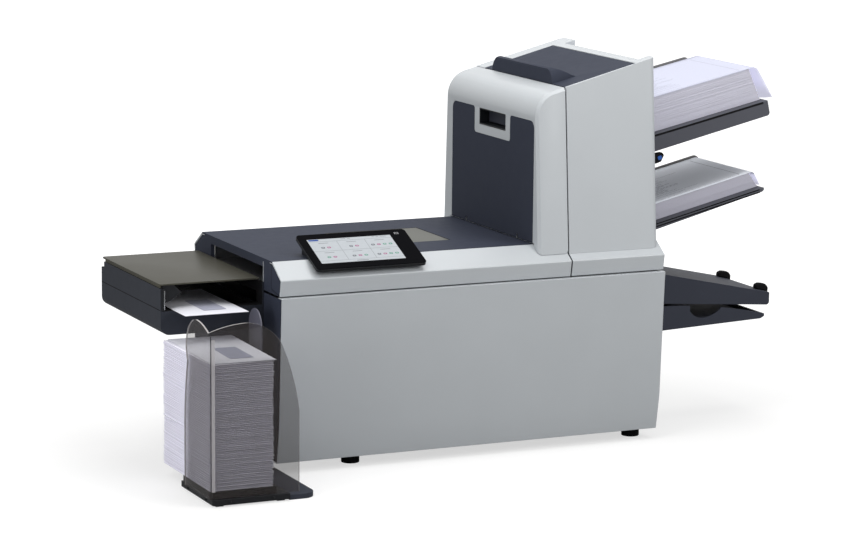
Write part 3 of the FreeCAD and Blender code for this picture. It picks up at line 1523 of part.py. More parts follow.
def make_tray_brackets():
    """Forks that hold the levers, and blocks on the tower's wall that carry the trays."""
    body = new_body("tray_brackets")
    front, back = size.lever_front - size.gap, size.lever_front + size.lever_width + size.gap
    for _, wall_x, height, _ in lever_places():
        x = wall_x + size.lever_pivot
        wall = size.fork_wall
        half = size.lever_pin + wall
        ear = box_points((wall_x, height - half), (x + half, height + half))
        block(body, "XZ", ear, front - wall, front)
        block(body, "XZ", ear, back, back + wall)
        disc(body, "XZ", (x, height), size.lever_pin, front - 1, back + 1)
    rest = size.tray_rest
    for height, tilt, wall_x in ((upper_tray_height, size.upper_tray_tilt, tower_right),
                                 (lower_tray_height, size.lower_tray_tilt, size.body_length)):
        under = height - size.tray_wall / cosine(tilt)
        run = wall_x - tray_start
        slope = tangent(tilt)
        block_outline = [(wall_x, under + run * slope - 18), (wall_x + rest / 2, under + run * slope - 10),
                         (wall_x + rest, under + (run + rest) * slope - 4),
                         (wall_x + rest, under + (run + rest) * slope),
                         (wall_x, under + run * slope)]
        inset, wide = size.tray_rest_front, size.tray_rest_wall
        for start in (size.tray_front + inset, tray_back - inset - wide):
            block(body, "XZ", block_outline, start, start + wide)


# Exit unit

def make_exit_shell():
    body = new_body("exit_shell")
    left, wall = -size.exit_left, size.skin
    block(body, "XY", box_points((left, size.exit_front), (0, exit_back)),
          exit_low, exit_wall_top)
    round_edges(body, size.exit_round, edges_along("y", [(left, exit_low)]))
    inner_left, inner_right = left + wall, -wall
    back_inner = exit_back - wall
    lip_back = size.exit_front + size.exit_lip_thick
    cut(body, "XY", box_points((inner_left, lip_back), (inner_right, back_inner)),
        exit_floor, exit_wall_top + 1)
    cut(body, "XY", box_points((inner_left, size.exit_front - 1), (inner_right, lip_back + 1)),
        exit_lip, exit_wall_top + 1)
    cut(body, "XY", box_points((left - 1, exit_axis_back - 9), (1, exit_back + 1)),
        exit_back_top, exit_wall_top + 1)
    # Hollow below the floor
    cut(body, "XY", box_points((left + size.exit_round, size.exit_front + wall),
                               (inner_right - wall, back_inner - wall)),
        exit_low - 1, exit_floor - wall)
    # Passage from the cabinet
    cut(body, "YZ", box_points((size.mouth_front, mouth_low), (mouth_back, mouth_high)),
        inner_right - 1, 1)
    # Slot for the exit rollers
    room = size.exit_radius + 1
    cut(body, "XY", box_points((exit_tyre[0] - size.slot_play, size.exit_shaft_back - room),
                               (exit_tyre[1] + size.slot_play, size.exit_shaft_back + room)),
        exit_floor - wall - 1, exit_floor + 1)
    bore(body, "YZ", (size.exit_shaft_back, exit_shaft_height), size.skin + bore_play,
         left + wall / 2, inner_right - 1)
    # Ears with the pins of the smoked lid
    y, z, eye = exit_axis_back, exit_axis_height, size.exit_eye
    root = exit_back_top - size.ear_root
    ear = [(y - eye, root), (exit_back, root), (exit_back, exit_back_top), (y + eye, z),
           (y + eye / 2, z + eye), (y - eye / 2, z + eye), (y - eye, z)]
    for start, pin_start, pin_end in ear_places():
        block(body, "YZ", ear, start, start + size.ear_wall)
        disc(body, "YZ", (y, z), size.exit_pin, pin_start, pin_end)


exit_tyre = (-size.exit_tyre_left, size.exit_tyre - size.exit_tyre_left)
exit_shaft_height = exit_lip - size.exit_radius


def ear_places():
    """Start of each ear and the reach of its pin, along x."""
    wall = size.ear_wall
    left = -size.exit_left + size.skin + size.ear_inset
    right = -size.skin - size.ear_inset - wall
    reach = size.exit_knuckle + 2 * size.exit_knuckle_gap
    return (left, left + wall - 1, left + wall + reach), (right, right - reach, right + 1)


def make_exit_lid():
    body = new_body("exit_lid")
    left, right = -size.exit_left + size.skin / 2, -size.skin - 2
    front = size.exit_front + size.exit_lid_short
    block(body, "XY", box_points((left, front), (right, exit_back)),
          lid_top - size.exit_lid_wall, lid_top)
    round_edges(body, size.exit_lid_round, edges_along("z", [(left, front), (left, exit_back)]))
    y, z, eye = exit_axis_back, exit_axis_height, size.exit_eye
    knuckle = [(y - eye, lid_top - size.exit_lid_wall), (y - eye, z - eye / 2),
               (y - eye / 2, z - eye), (y + eye / 2, z - eye), (y + eye, z - eye / 2),
               (y + eye, lid_top - size.exit_lid_wall)]
    first, second = ear_places()
    wide, side = size.exit_knuckle, size.exit_knuckle_gap
    for start in (first[0] + size.ear_wall + side, second[0] - side - wide):
        block(body, "YZ", knuckle, start, start + wide)
        bore(body, "YZ", (y, z), size.exit_pin + bore_play, start - 1, start + wide + 1)
    # Flange along the left edge that rests on the side wall
    under = lid_top - size.exit_lid_wall
    block(body, "XY", box_points((left, front + 2), (left + size.skin, exit_axis_back - 12)),
          exit_wall_top + size.gap, under)


def make_exit_finger():
    """Black guide finger under the lid that leads the envelope's left edge."""
    body = new_body("exit_finger")
    left = -size.exit_left + size.skin + 4
    under = lid_top - size.exit_lid_wall
    tongue = [(left, under), (left, exit_lip + 11), (left + 14, exit_lip + 16),
              (left + 33, exit_lip + 27), (left + 33, exit_lip + 31), (left + 20, under)]
    front = size.exit_front + size.exit_lid_short + 2
    block(body, "XZ", tongue, front, front + size.finger_wall)


def make_exit_rollers():
    body = new_body("exit_rollers")
    ends = (-size.exit_left + size.skin / 2 + size.gap, -size.skin - 4)
    outline = roller_outline(ends, size.skin, [exit_tyre], size.exit_radius)
    spin(body, "x", outline, (size.exit_shaft_back, exit_shaft_height))


def make_exit_envelope():
    body = new_body("exit_envelope")
    low = exit_lip + size.gap
    left = -size.exiting_left
    block(body, "XY", box_points((left, -size.exiting_front),
                                 (left + size.envelope_width, -size.exiting_front + size.envelope_length)),
          low, low + size.exiting_thick)


# Stacker

def make_stacker():
    base = new_body("stacker_base")
    left, front = -size.stacker_left, -size.stacker_front
    right, back = left + size.stacker_width, front + size.stacker_depth
    block(base, "XY", box_points((left, front), (right, back)), size.stacker_low, size.stacker_top)
    round_edges(base, size.base_round, edges_along("z", [(left, front)]))
    envelope_left, envelope_front = stack_corner
    block(base, "XY", box_points((envelope_left + 3, envelope_front - 2),
                                 (envelope_left + size.envelope_width + 2, back - 4)),
          size.stacker_top, size.riser_top)
    inset, wide = size.glide_inset, size.glide
    for x in (left + inset, right - inset - wide):
        for y in (front + inset, back - inset - wide):
            block(base, "XY", box_points((x, y), (x + wide, y + wide)), 0, size.stacker_low)
    guide_x, guide_y = -size.guide_left, -size.guide_front
    foot = new_body("stacker_foot")
    slate_left = right + size.gap
    slate_front = -size.slate_front
    slate_back = slate_front + size.slate_depth
    block(foot, "XY", box_points((slate_left, slate_front), (size.slate_right, slate_back)),
          0, size.slate_top)
    round_edges(foot, size.slate_round, edges_along("z", [(size.slate_right, slate_front)]))
    block(foot, "XY", box_points((slate_left, slate_back), (size.slate_right - 12, size.tongue_half)),
          0, size.slate_top)
    half = size.tongue_half
    tongue = [(-half, size.slate_top), (half, size.slate_top),
              (half, tongue_top - half, half), (0, tongue_top, half),
              (-half, tongue_top - half)]
    block(foot, "YZ", tongue, -size.tongue_right - size.tongue_wall, -size.tongue_right)
    guide = new_body("stacker_guide")
    wall = size.guide_sheet
    ell = [(guide_x, guide_y), (guide_x + size.guide_width, guide_y),
           (guide_x + size.guide_width, guide_y + wall), (guide_x + wall, guide_y + wall),
           (guide_x + wall, guide_y + size.guide_depth), (guide_x, guide_y + size.guide_depth)]
    block(guide, "XY", ell, size.stacker_top + size.gap, guide_top + 20)
    peak = guide_x + size.front_peak
    far = guide_x + size.guide_width + 1
    over = guide_top + 21
    front_sky = [(guide_x - 1, guide_bend, -200), (peak, guide_top, -78),
                 (peak + size.front_fall, guide_top - size.front_drop, -420),
                 (far, size.stacker_top + size.front_low), (far, over), (guide_x - 1, over)]
    cut(guide, "XZ", front_sky, guide_y - 1, guide_y + wall + 0.01)
    crown = guide_y + size.side_peak
    end = guide_y + size.guide_depth + 1
    side_sky = [(guide_y + wall, guide_bend, -130), (crown, guide_top, -52),
                (crown + size.side_fall, guide_top - size.side_drop, -600),
                (end, size.stacker_top + size.side_low), (end, over), (guide_y + wall, over)]
    cut(guide, "YZ", side_sky, guide_x - 1, guide_x + wall + 1)
    stack = new_body("envelope_stack")
    envelope_right = envelope_left + size.envelope_width
    envelope_back = envelope_front + size.envelope_length
    block(stack, "XY", box_points((envelope_left, envelope_front), (envelope_right, envelope_back)),
          size.riser_top, size.riser_top + envelope_load)


stack_corner = (-size.guide_left + size.guide_sheet + size.stack_side,
                -size.guide_front + size.guide_sheet + size.stack_ahead)


# Envelope feeder

def slope_between(low, high, x, low_x, high_x):
    """Height at x on the straight line between two places."""
    return low + (high - low) * (x - low_x) / (high_x - low_x)


def table_top(x):
    return slope_between(table_high, table_end_high, x, table_start, table_end)


def make_envelope_table():
    body = new_body("envelope_table")
    start, end, wall = table_start, table_end, size.table_wall
    bend = size.table_round
    profile = [(start, table_low), (end - bend, table_end_low, bend),
               (end, table_end_low + bend), (end, table_end_high), (start, table_high)]
    block(body, "XZ", profile, size.table_front, table_back)
    inner_end = end - bend - wall
    inner = [(start - 1, table_low - 1), (inner_end, table_end_low - 1),
             (inner_end, table_end_high - wall - 1), (start - 1, table_high - wall)]
    cut(body, "XZ", inner, size.table_front + wall, table_back - wall)
    axis = (start + size.table_axis_out, table_axis_height)
    bore(body, "XZ", axis, size.table_pin + bore_play, size.table_front - 1, table_back + 1)


def make_envelope_stops():
    body = new_body("envelope_stops")
    end = table_end + size.stop_past
    start = end - size.stop_length
    for low in (size.table_front + size.stop_inset, table_back - size.stop_inset - size.stop_width):
        crest = table_top(table_end) + size.stop_rise
        outline = [(start, table_top(start)), (table_end + size.gap / 10, table_top(table_end)),
                   (table_end + size.gap / 10, table_end_low + 10),
                   (end - 2, table_end_low + 10), (end, crest - 6), (end - 6, crest + 1),
                   (start + 8, crest + 3), (start + 1, table_top(start) + 8)]
        block(body, "XZ", outline, low, low + size.stop_width)


def make_envelope_well():
    """Lower tray under the lifting table, with the ears that carry the table's pins."""
    body = new_body("envelope_lower_tray")
    start, wall = size.body_length, size.table_wall
    low, high = size.table_front, table_back
    profile = [(start, well_low), (well_end - 8, well_end_low),
               (well_end, well_end_low + 4), (well_end, well_end_high, size.well_arch),
               (start, well_high)]
    block(body, "XZ", profile, low, high)
    over = well_high + 20
    floor_end = well_end_low + 2 * wall
    room = [(start + wall, over), (start + wall, well_low + 3 * wall), (scoop_right, floor_end),
            (well_end - 10, floor_end), (well_end - 10, over)]
    cut(body, "XZ", room, low + wall, high - wall)
    scoop_middle = (scoop_left + scoop_right) / 2
    edge = slope_between(well_high, well_end_high, scoop_middle, start, well_end) + wall
    cut(body, "XZ", [(scoop_left, over), (scoop_left, edge), (scoop_left + 3, edge - 4, 30),
                     (scoop_middle, edge - size.scoop_depth, 60), (scoop_right, edge),
                     (scoop_right, over)], low - 1, low + wall + 1)
    axis = (table_start + size.table_axis_out, table_axis_height)
    root = well_high - 8
    ear_end = axis[0] + 9
    ear = [(start, root), (ear_end, root), (ear_end - 2, axis[1] + 5), (axis[0] + 2, axis[1] + 8),
           (start, axis[1] + 8)]
    side = size.ear_side
    for ear_low, ear_high, pin_low, pin_high in (
            (low - side, low - size.gap, low - side + 1, low + wall),
            (high + size.gap, high + side, high - wall, high + side - 1)):
        block(body, "XZ", ear, ear_low, ear_high)
        disc(body, "XZ", axis, size.table_pin, pin_low, pin_high)
    # The ears stand on shoulders of the tray's side walls
    for ledge_low, ledge_high in ((low - side, low + 1), (high - 1, high + side)):
        block(body, "XZ", box_points((start, root - 12), (ear_end, root)), ledge_low, ledge_high)


def build():
    make_base_pan()
    make_feet()
    make_front_panel()
    make_rear_panel()
    make_sides()
    make_frames()
    make_transport_deck()
    make_transport_rollers()
    make_fold_rollers()
    make_fold_plates()
    make_motor()
    make_electrics()
    make_cover_front()
    make_cover_rear()
    make_cover_hinge()
    make_cover_top()
    make_window_pane()
    make_end_cheek()
    make_press_frame()
    make_idler_rollers()
    make_screen()
    make_door()
    make_door_panel()
    make_handle_cup()
    make_door_latch()
    make_door_hinge()
    make_tower_base()
    make_tower_shell()
    make_tower_lid()
    make_tray("upper_tray", upper_tray_height, size.upper_tray_tilt, size.upper_tray_length,
              size.upper_rail, size.upper_rail - 3)
    make_tray("lower_tray", lower_tray_height, size.lower_tray_tilt, size.lower_tray_length,
              size.lower_rail, size.lower_rail_end)
    make_side_guide("upper_guide", upper_tray_height, size.upper_tray_tilt,
                    size.upper_guide_end, size.upper_load)
    make_side_guide("lower_guide", lower_tray_height, size.lower_tray_tilt,
                    size.lower_guide_end, size.lower_load)
    make_sheets("paper_stack_upper", upper_tray_height, size.upper_tray_tilt, size.upper_load)
    make_sheets("paper_stack_lower", lower_tray_height, size.lower_tray_tilt, size.lower_load)
    make_feed_rollers("upper_feed_rollers", upper_tray_height, size.upper_tray_tilt, size.upper_load)
    make_feed_rollers("lower_feed_rollers", lower_tray_height, size.lower_tray_tilt, size.lower_load)
    make_levers()
    make_tray_brackets()
    make_exit_shell()
    make_exit_lid()
    make_exit_finger()
    make_exit_rollers()
    make_exit_envelope()
    make_stacker()
    make_envelope_table()
    make_envelope_stops()
    make_envelope_well()


def check_document():
    """Stop on failed features, open or empty pieces, and cuts that removed nothing."""
    doc.recompute()
    faults = []
    for thing in doc.Objects:
        if "Invalid" in thing.State or "Error" in thing.State:
            faults.append(f"{thing.Name} failed")
        elif thing.TypeId == "PartDesign::Pocket" and thing.BaseFeature is not None:
            if thing.BaseFeature.Shape.Volume - thing.Shape.Volume < 0.01:
                faults.append(f"{thing.Name} cuts nothing")
    for label, piece in nodes.items():
        if piece.Shape.isNull() or not piece.Shape.isValid() or not piece.Shape.Solids:
            faults.append(f"{label} has no valid solid")
    if faults:
        raise RuntimeError("; ".join(faults))


def write_parts():
    os.makedirs("parts", exist_ok=True)
    for label, piece in nodes.items():
        piece.Shape.exportStep(f"parts/{label}.step")


build()
check_document()
write_parts()
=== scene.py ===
import json
import math
import random

import bmesh
import bpy
from mathutils import Matrix, Vector

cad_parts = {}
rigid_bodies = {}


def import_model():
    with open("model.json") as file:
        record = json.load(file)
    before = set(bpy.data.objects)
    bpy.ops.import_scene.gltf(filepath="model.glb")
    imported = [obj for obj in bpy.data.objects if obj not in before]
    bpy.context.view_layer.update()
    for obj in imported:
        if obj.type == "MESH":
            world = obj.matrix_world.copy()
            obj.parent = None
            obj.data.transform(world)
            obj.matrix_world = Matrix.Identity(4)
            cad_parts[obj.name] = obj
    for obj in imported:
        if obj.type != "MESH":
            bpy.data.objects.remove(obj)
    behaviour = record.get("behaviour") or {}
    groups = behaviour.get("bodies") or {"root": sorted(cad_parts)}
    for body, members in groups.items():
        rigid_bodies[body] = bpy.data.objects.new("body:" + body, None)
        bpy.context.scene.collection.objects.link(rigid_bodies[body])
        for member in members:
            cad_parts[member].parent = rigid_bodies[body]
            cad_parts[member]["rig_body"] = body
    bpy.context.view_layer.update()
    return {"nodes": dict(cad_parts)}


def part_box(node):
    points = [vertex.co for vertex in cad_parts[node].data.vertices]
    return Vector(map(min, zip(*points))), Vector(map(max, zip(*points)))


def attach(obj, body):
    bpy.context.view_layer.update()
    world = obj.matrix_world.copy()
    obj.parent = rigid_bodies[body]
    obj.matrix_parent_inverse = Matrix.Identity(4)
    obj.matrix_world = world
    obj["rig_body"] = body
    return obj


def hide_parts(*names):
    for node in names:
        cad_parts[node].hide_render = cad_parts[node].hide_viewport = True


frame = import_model()

# Finishes, softened edges and loose paper of a table-top folder inserter, in metres.
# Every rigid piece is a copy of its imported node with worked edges, so it stays where the node is.
# Named numbers are millimetres where MM multiplies them, and metres, degrees or shares elsewhere.

MM = 0.001
random.seed(7)

# Colours, as linear red, green and blue

LIGHT_GREY = (0.475, 0.502, 0.528)
REAR_GREY = (0.330, 0.350, 0.370)
SLATE = (0.032, 0.037, 0.055)
SLATE_PLASTIC = (0.036, 0.040, 0.055)
BLACK = (0.010, 0.011, 0.013)
STEEL = (0.420, 0.430, 0.450)
PAPER = (0.740, 0.745, 0.810)
INK = (0.330, 0.340, 0.400)
BLUE = (0.015, 0.100, 0.420)


# Materials

MOTTLE_SCALE = 9
GLOSS_SCALE = 60
GLOSS_SPREAD = 0.03
FIBRE_SCALE = 400
SHEET_EDGE_DEPTH = 0.12
HAZE_SCALE = 12
GLOW_SCALE = 150
GLOW_STRENGTH = 0.5
GLOW_FACE_SHARE = 0.3
PAPER_GRAIN_DEPTH = 0.01


def new_material(name):
    material = bpy.data.materials.new(name)
    material.use_nodes = True
    tree = material.node_tree
    return material, tree, tree.nodes["Principled BSDF"]


def add_node(tree, kind, **values):
    node = tree.nodes.new(kind)
    for name, value in values.items():
        node.inputs[name.replace("_", " ")].default_value = value
    return node


def noise(tree, scale, detail=3, stretch=None):
    """Noise in the piece's own place, so that it rides with the piece. stretch scales x, y and z apart."""
    place = tree.nodes.new("ShaderNodeTexCoord")
    texture = add_node(tree, "ShaderNodeTexNoise", Scale=scale, Detail=detail)
    socket = place.outputs["Object"]
    if stretch:
        mapping = tree.nodes.new("ShaderNodeMapping")
        mapping.inputs["Scale"].default_value = stretch
        tree.links.new(socket, mapping.inputs["Vector"])
        socket = mapping.outputs["Vector"]
    tree.links.new(socket, texture.inputs["Vector"])
    return texture.outputs["Fac"]


def combine(tree, operation, first, second):
    """One value made from two."""
    node = tree.nodes.new("ShaderNodeMath")
    node.operation = operation
    tree.links.new(first, node.inputs[0])
    tree.links.new(second, node.inputs[1])
    return node.outputs[0]


def spread(tree, socket, low, high):
    """The noise value turned into a range between low and high."""
    ranged = add_node(tree, "ShaderNodeMapRange", From_Min=0.3, From_Max=0.7, To_Min=low, To_Max=high)
    tree.links.new(socket, ranged.inputs["Value"])
    return ranged.outputs["Result"]


def mottled(tree, socket, colour, amount):
    """The colour, a little darker and lighter from place to place."""
    mix = tree.nodes.new("ShaderNodeMix")
    mix.data_type = "RGBA"
    mix.inputs["A"].default_value = (*[c * (1 - amount) for c in colour], 1)
    mix.inputs["B"].default_value = (*[min(1, c * (1 + amount)) for c in colour], 1)
    tree.links.new(spread(tree, socket, 0, 1), mix.inputs["Factor"])
    return mix.outputs["Result"]


def bump(tree, shader, socket, depth):
    """Relief from a noise value, on top of any relief that the shader already has."""
    node = add_node(tree, "ShaderNodeBump", Strength=1.0, Distance=depth)
    tree.links.new(socket, node.inputs["Height"])
    previous = shader.inputs["Normal"]
    if previous.is_linked:
        tree.links.new(previous.links[0].from_socket, node.inputs["Normal"])
    tree.links.new(node.outputs["Normal"], shader.inputs["Normal"])


def vary_gloss(tree, shader, socket, rough, share):
    tree.links.new(spread(tree, socket, rough * (1 - share), rough * (1 + share)),
                   shader.inputs["Roughness"])


def surface(name, colour, rough, metal=0.0, mottle=0.04, grain=1500, depth=0.012, coat=0.0,
            stretch=None, level=0.5):
    """A painted, moulded or rolled surface: fine grain, faint mottling and uneven gloss."""
    material, tree, shader = new_material(name)
    shader.inputs["Metallic"].default_value = metal
    shader.inputs["Coat Weight"].default_value = coat
    shader.inputs["Coat Roughness"].default_value = 0.12
    shader.inputs["Specular IOR Level"].default_value = level
    broad = noise(tree, MOTTLE_SCALE, stretch=stretch)
    tree.links.new(mottled(tree, broad, colour, mottle), shader.inputs["Base Color"])
    vary_gloss(tree, shader, noise(tree, GLOSS_SCALE, stretch=stretch), rough, GLOSS_SPREAD)
    bump(tree, shader, noise(tree, grain, detail=2, stretch=stretch), depth * MM)
    return material


def paper_material(name, colour, lines=0, lit=0.0):
    """Matt paper with a faint fibre; lines draws that many sheet edges per millimetre of height.

    lit is a painted glow: emission in the paper's colour that stands in for light coming through a single
    sheet.
    """
    material, tree, shader = new_material(name)
    shader.inputs["Roughness"].default_value = 0.75
    shader.inputs["Specular IOR Level"].default_value = 0.25
    fibre = noise(tree, FIBRE_SCALE, detail=4)
    tree.links.new(mottled(tree, fibre, colour, 0.025), shader.inputs["Base Color"])
    # Painted light: emission in the paper's own colour, for light shining through the sheet
    shader.inputs["Emission Color"].default_value = (*colour, 1)
    shader.inputs["Emission Strength"].default_value = lit
    bump(tree, shader, fibre, PAPER_GRAIN_DEPTH * MM)
    if lines:
        edges = noise(tree, 1.0, detail=1, stretch=(3, 3, lines / MM))
        bump(tree, shader, edges, SHEET_EDGE_DEPTH * MM)
    return material


def acrylic(name, colour, alpha, rough=0.06, coat=0.5, level=0.5):
    """Smoked sheet: the colour covers what lies behind by its share alpha, under a polished face."""
    material, tree, shader = new_material(name)
    shader.inputs["Alpha"].default_value = alpha
    shader.inputs["Coat Weight"].default_value = coat
    shader.inputs["Specular IOR Level"].default_value = level
    shader.inputs["Coat Roughness"].default_value = 0.03
    haze = noise(tree, HAZE_SCALE)
    tree.links.new(mottled(tree, haze, colour, 0.03), shader.inputs["Base Color"])
    vary_gloss(tree, shader, haze, rough, 0.05)
    return material


def glow(name, colour):
    """A lit part of the display: mostly its own light, and a darker face under the glass."""
    material, tree, shader = new_material(name)
    grain = noise(tree, GLOW_SCALE)
    face = [GLOW_FACE_SHARE * part for part in colour]
    tree.links.new(mottled(tree, grain, face, 0.02), shader.inputs["Base Color"])
    tree.links.new(mottled(tree, grain, colour, 0.02), shader.inputs["Emission Color"])
    shader.inputs["Emission Strength"].default_value = GLOW_STRENGTH
    shader.inputs["Specular IOR Level"].default_value = 0.01
    shader.inputs["Roughness"].default_value = 0.3
    return material


FINISH = {
    "light_grey_paint": surface("light_grey_finish", LIGHT_GREY, 0.42, mottle=0.015, coat=0.15),
    "rear_grey_paint": surface("rear_grey_finish", REAR_GREY, 0.5, mottle=0.02),
    "slate_paint": surface("slate_finish", SLATE, 0.62, mottle=0.02, depth=0.004, level=0.09),
    "slate_plastic": surface("slate_plastic_finish", SLATE_PLASTIC, 0.55, grain=1100, depth=0.008,
                             level=0.15),
    "black_plastic": surface("black_plastic_finish", BLACK, 0.38, grain=1300, depth=0.010, level=0.2),
    "blue_plastic": surface("blue_plastic_finish", BLUE, 0.35, coat=0.2),
    "sheet_steel": surface("sheet_steel_finish", STEEL, 0.38, metal=0.9, stretch=(1, 14, 14), grain=500),
    "dark_steel": surface("dark_steel_finish", (0.030, 0.032, 0.038), 0.45, metal=0.3),
    "rubber": surface("rubber_finish", (0.006, 0.006, 0.007), 0.72, grain=900, depth=0.02, level=0.08),
    "roller_rubber": surface("roller_rubber_finish", (0.05, 0.05, 0.055), 0.62, grain=700, depth=0.03),
    "paper": paper_material("paper_finish", PAPER),
    "screen_glass": surface("screen_glass_finish", (0.002, 0.002, 0.003), 0.30, mottle=0.02, depth=0.001,
                            level=0.01),
    "smoked_acrylic": acrylic("smoked_lid_finish", (0.066, 0.064, 0.052), 0.95, rough=0.32, coat=0.0,
                              level=0.03),
}
GUIDE_FACE = acrylic("smoked_guide_finish", (0.040, 0.032, 0.030), 0.31, rough=0.04, coat=0.2)
BEND_PAINTED_HIGHLIGHT = acrylic("guide_bend_painted_highlight", (0.62, 0.60, 0.62), 0.45, rough=0.1)
GUIDE_EDGE = acrylic("smoked_guide_edge", (0.42, 0.40, 0.40), 0.85, rough=0.2)
WINDOW_PANE = acrylic("window_pane_finish", (0.100, 0.103, 0.090), 0.96, rough=0.3, coat=0.0, level=0.03)
TONGUE = acrylic("smoked_tongue_finish", (0.150, 0.150, 0.190), 0.88, rough=0.2, coat=0.2, level=0.2)
SHEET_EDGES = paper_material("sheet_edge_finish", (0.60, 0.595, 0.68), lines=1.1)
# Painted shade: the lower stack's edges are darker for the shadow of the upper tray above them
LOWER_EDGES_PAINTED_SHADE = paper_material("lower_sheet_edge_painted_shade", (0.51, 0.505, 0.58), lines=1.1)
# The two top sheets are one paper painted at two levels of light: the upper one painted darker as shade,
# the lower one painted lighter to offset the shadow of the upper tray
UPPER_TOP_PAINTED_SHADE = paper_material("upper_sheet_top_painted_shade", (0.55, 0.565, 0.68))
LOWER_TOP_PAINTED_LIGHT = paper_material("lower_sheet_top_painted_light", (0.84, 0.87, 0.94))
PILE = paper_material("envelope_pile_finish", (0.84, 0.83, 0.93))
# Painted light: the top sheet's fold past the stack glows, as if lit through from behind
FLAP_PAINTED_BACKLIGHT = paper_material("sheet_flap_painted_backlight", (0.72, 0.72, 0.86), lit=0.55)
PRINT = paper_material("print_finish", INK)
FAINT_PRINT = paper_material("faint_print_finish", (0.40, 0.41, 0.50))
WINDOW_FILM = paper_material("window_film_finish", (0.36, 0.37, 0.46))
EXIT_WALL = surface("exit_wall_finish", (0.024, 0.027, 0.036), 0.5, grain=1100, depth=0.008, level=0.12)
RAIL_FINISH = surface("rail_finish", (0.078, 0.081, 0.098), 0.55, grain=1100, depth=0.008, level=0.2)
GUIDE_FINISH = surface("side_guide_finish", (0.150, 0.148, 0.150), 0.5, grain=1100, depth=0.008, level=0.2)
POLISHED = surface("polished_steel_finish", (0.62, 0.63, 0.65), 0.22, metal=1.0, mottle=0.08)


# Building pieces

# The width of the worked edges
DEFAULT_EDGE = 0.4
SHEET_METAL_EDGE = 0.25
EDGE_WIDTH = {
    "front_panel": 1.2, "cover_front": 1.6, "cover_rear": 1.6, "tower_base_cover": 1.6,
    "door_shell": 1.2, "tower_shell": 1.6, "cover_top": 0.8, "door_panel": 0.5, "end_cheek": 0.9,
    "tower_lid": 1.0, "screen_glass": 0.5, "screen_housing": 1.0, "handle_cup": 0.6,
    "upper_tray": 1.0, "lower_tray": 1.0, "upper_guide": 0.8, "lower_guide": 0.8,
    "envelope_table": 1.6, "envelope_lower_tray": 0.9, "envelope_stops": 4.0, "exit_shell": 1.0,
    "exit_lid": 0.7, "exit_finger": 0.6, "stacker_base": 0.8, "stacker_foot": 0.8,
    "feet": 1.2, "main_motor": 1.0, "window_pane": 0.3, "upper_lever": 1.6, "stacker_guide": 0.5,
}
SHEET_METAL = ("frame_front", "frame_rear", "transport_deck", "fold_plates", "base_pan", "press_frame")
# Plates with many openings keep their triangles: one face round all the openings would shade badly
PIERCED = ("rear_panel",)
EDGE_ANGLE = 28
FLAT_ANGLE = 0.6
SAME_POINT = 0.002
TURNED_ANGLE = 35
CORNER_STEPS = 4
SCREW_RADIUS = 2.4
SCREW_STEPS = 18
# The screw's head from rim to socket, as shares of its radius: out from the axis and along it
SCREW_PROFILE = ((1, 0), (1, 0.35), (0.86, 0.6), (0.55, 0.7), (0.5, 0.68), (0.45, 0.2))


def new_mesh(name, points, faces, materials):
    mesh = bpy.data.meshes.new(name)
    mesh.from_pydata([tuple(point) for point in points], [], faces)
    for material in materials:
        mesh.materials.append(material)
    mesh.update()
    return mesh


def shade_smooth(mesh, angle):
    """Smooth faces with a hard line where they meet at more than angle degrees."""
    for polygon in mesh.polygons:
        polygon.use_smooth = True
    mesh.set_sharp_from_angle(angle=math.radians(angle))


def make_piece(name, mesh, body, stands_for=()):
    piece = bpy.data.objects.new(name, mesh)
    bpy.context.scene.collection.objects.link(piece)
    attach(piece, body)
    if stands_for:
        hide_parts(*stands_for)
    return piece


def soften(piece, width, segments):
    """Worked edges: a rounded bevel on every edge sharper than EDGE_ANGLE."""
    shade_smooth(piece.data, EDGE_ANGLE)
    modifier = piece.modifiers.new("worked edges", "BEVEL")
    modifier.width = width * MM
    modifier.segments = segments
    modifier.limit_method = "ANGLE"
    modifier.angle_limit = math.radians(EDGE_ANGLE)
    modifier.use_clamp_overlap = True
    modifier.harden_normals = True
    modifier.miter_outer = "MITER_ARC"


def dress(node, finish=None, segments=3):
    """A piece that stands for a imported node: its mesh, cleaned, with worked edges and a finish."""
    source = frame["nodes"][node]
    slot = source.data.materials[0].name
    mesh = source.data.copy()
    mesh.name = node + "_dressed"
    mesh.materials.clear()
    mesh.materials.append(finish or FINISH[slot])
    shape = bmesh.new()
    shape.from_mesh(mesh)
    bmesh.ops.remove_doubles(shape, verts=shape.verts, dist=SAME_POINT * MM)
    if node not in PIERCED:
        bmesh.ops.dissolve_limit(shape, angle_limit=math.radians(FLAT_ANGLE), verts=shape.verts,
                                 edges=shape.edges)
    shape.to_mesh(mesh)
    shape.free()
    mesh.update()
    piece = make_piece(node + "_dressed", mesh, source["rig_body"], (node,))
    usual = SHEET_METAL_EDGE if node in SHEET_METAL else DEFAULT_EDGE
    soften(piece, EDGE_WIDTH.get(node, usual), segments)
    return piece


def wall(low, count):
    """The faces between a ring of count points that starts at low and the ring that follows it."""
    faces = []
    for index in range(low, low + count):
        after = index + 1 if index + 1 < low + count else low
        faces.append((index, after, after + count, index + count))
    return faces


def ring_mesh(name, rings, materials):
    """A closed mesh through rings of points, one above the other; the caps have the last material."""
    count = len(rings[0])
    top = (len(rings) - 1) * count
    faces = [tuple(reversed(range(count)))]
    for low in range(0, top, count):
        faces += wall(low, count)
    faces.append(tuple(range(top, top + count)))
    mesh = new_mesh(name, [point for ring in rings for point in ring], faces, materials)
    for cap in (mesh.polygons[0], mesh.polygons[-1]):
        cap.material_index = len(materials) - 1
    return mesh


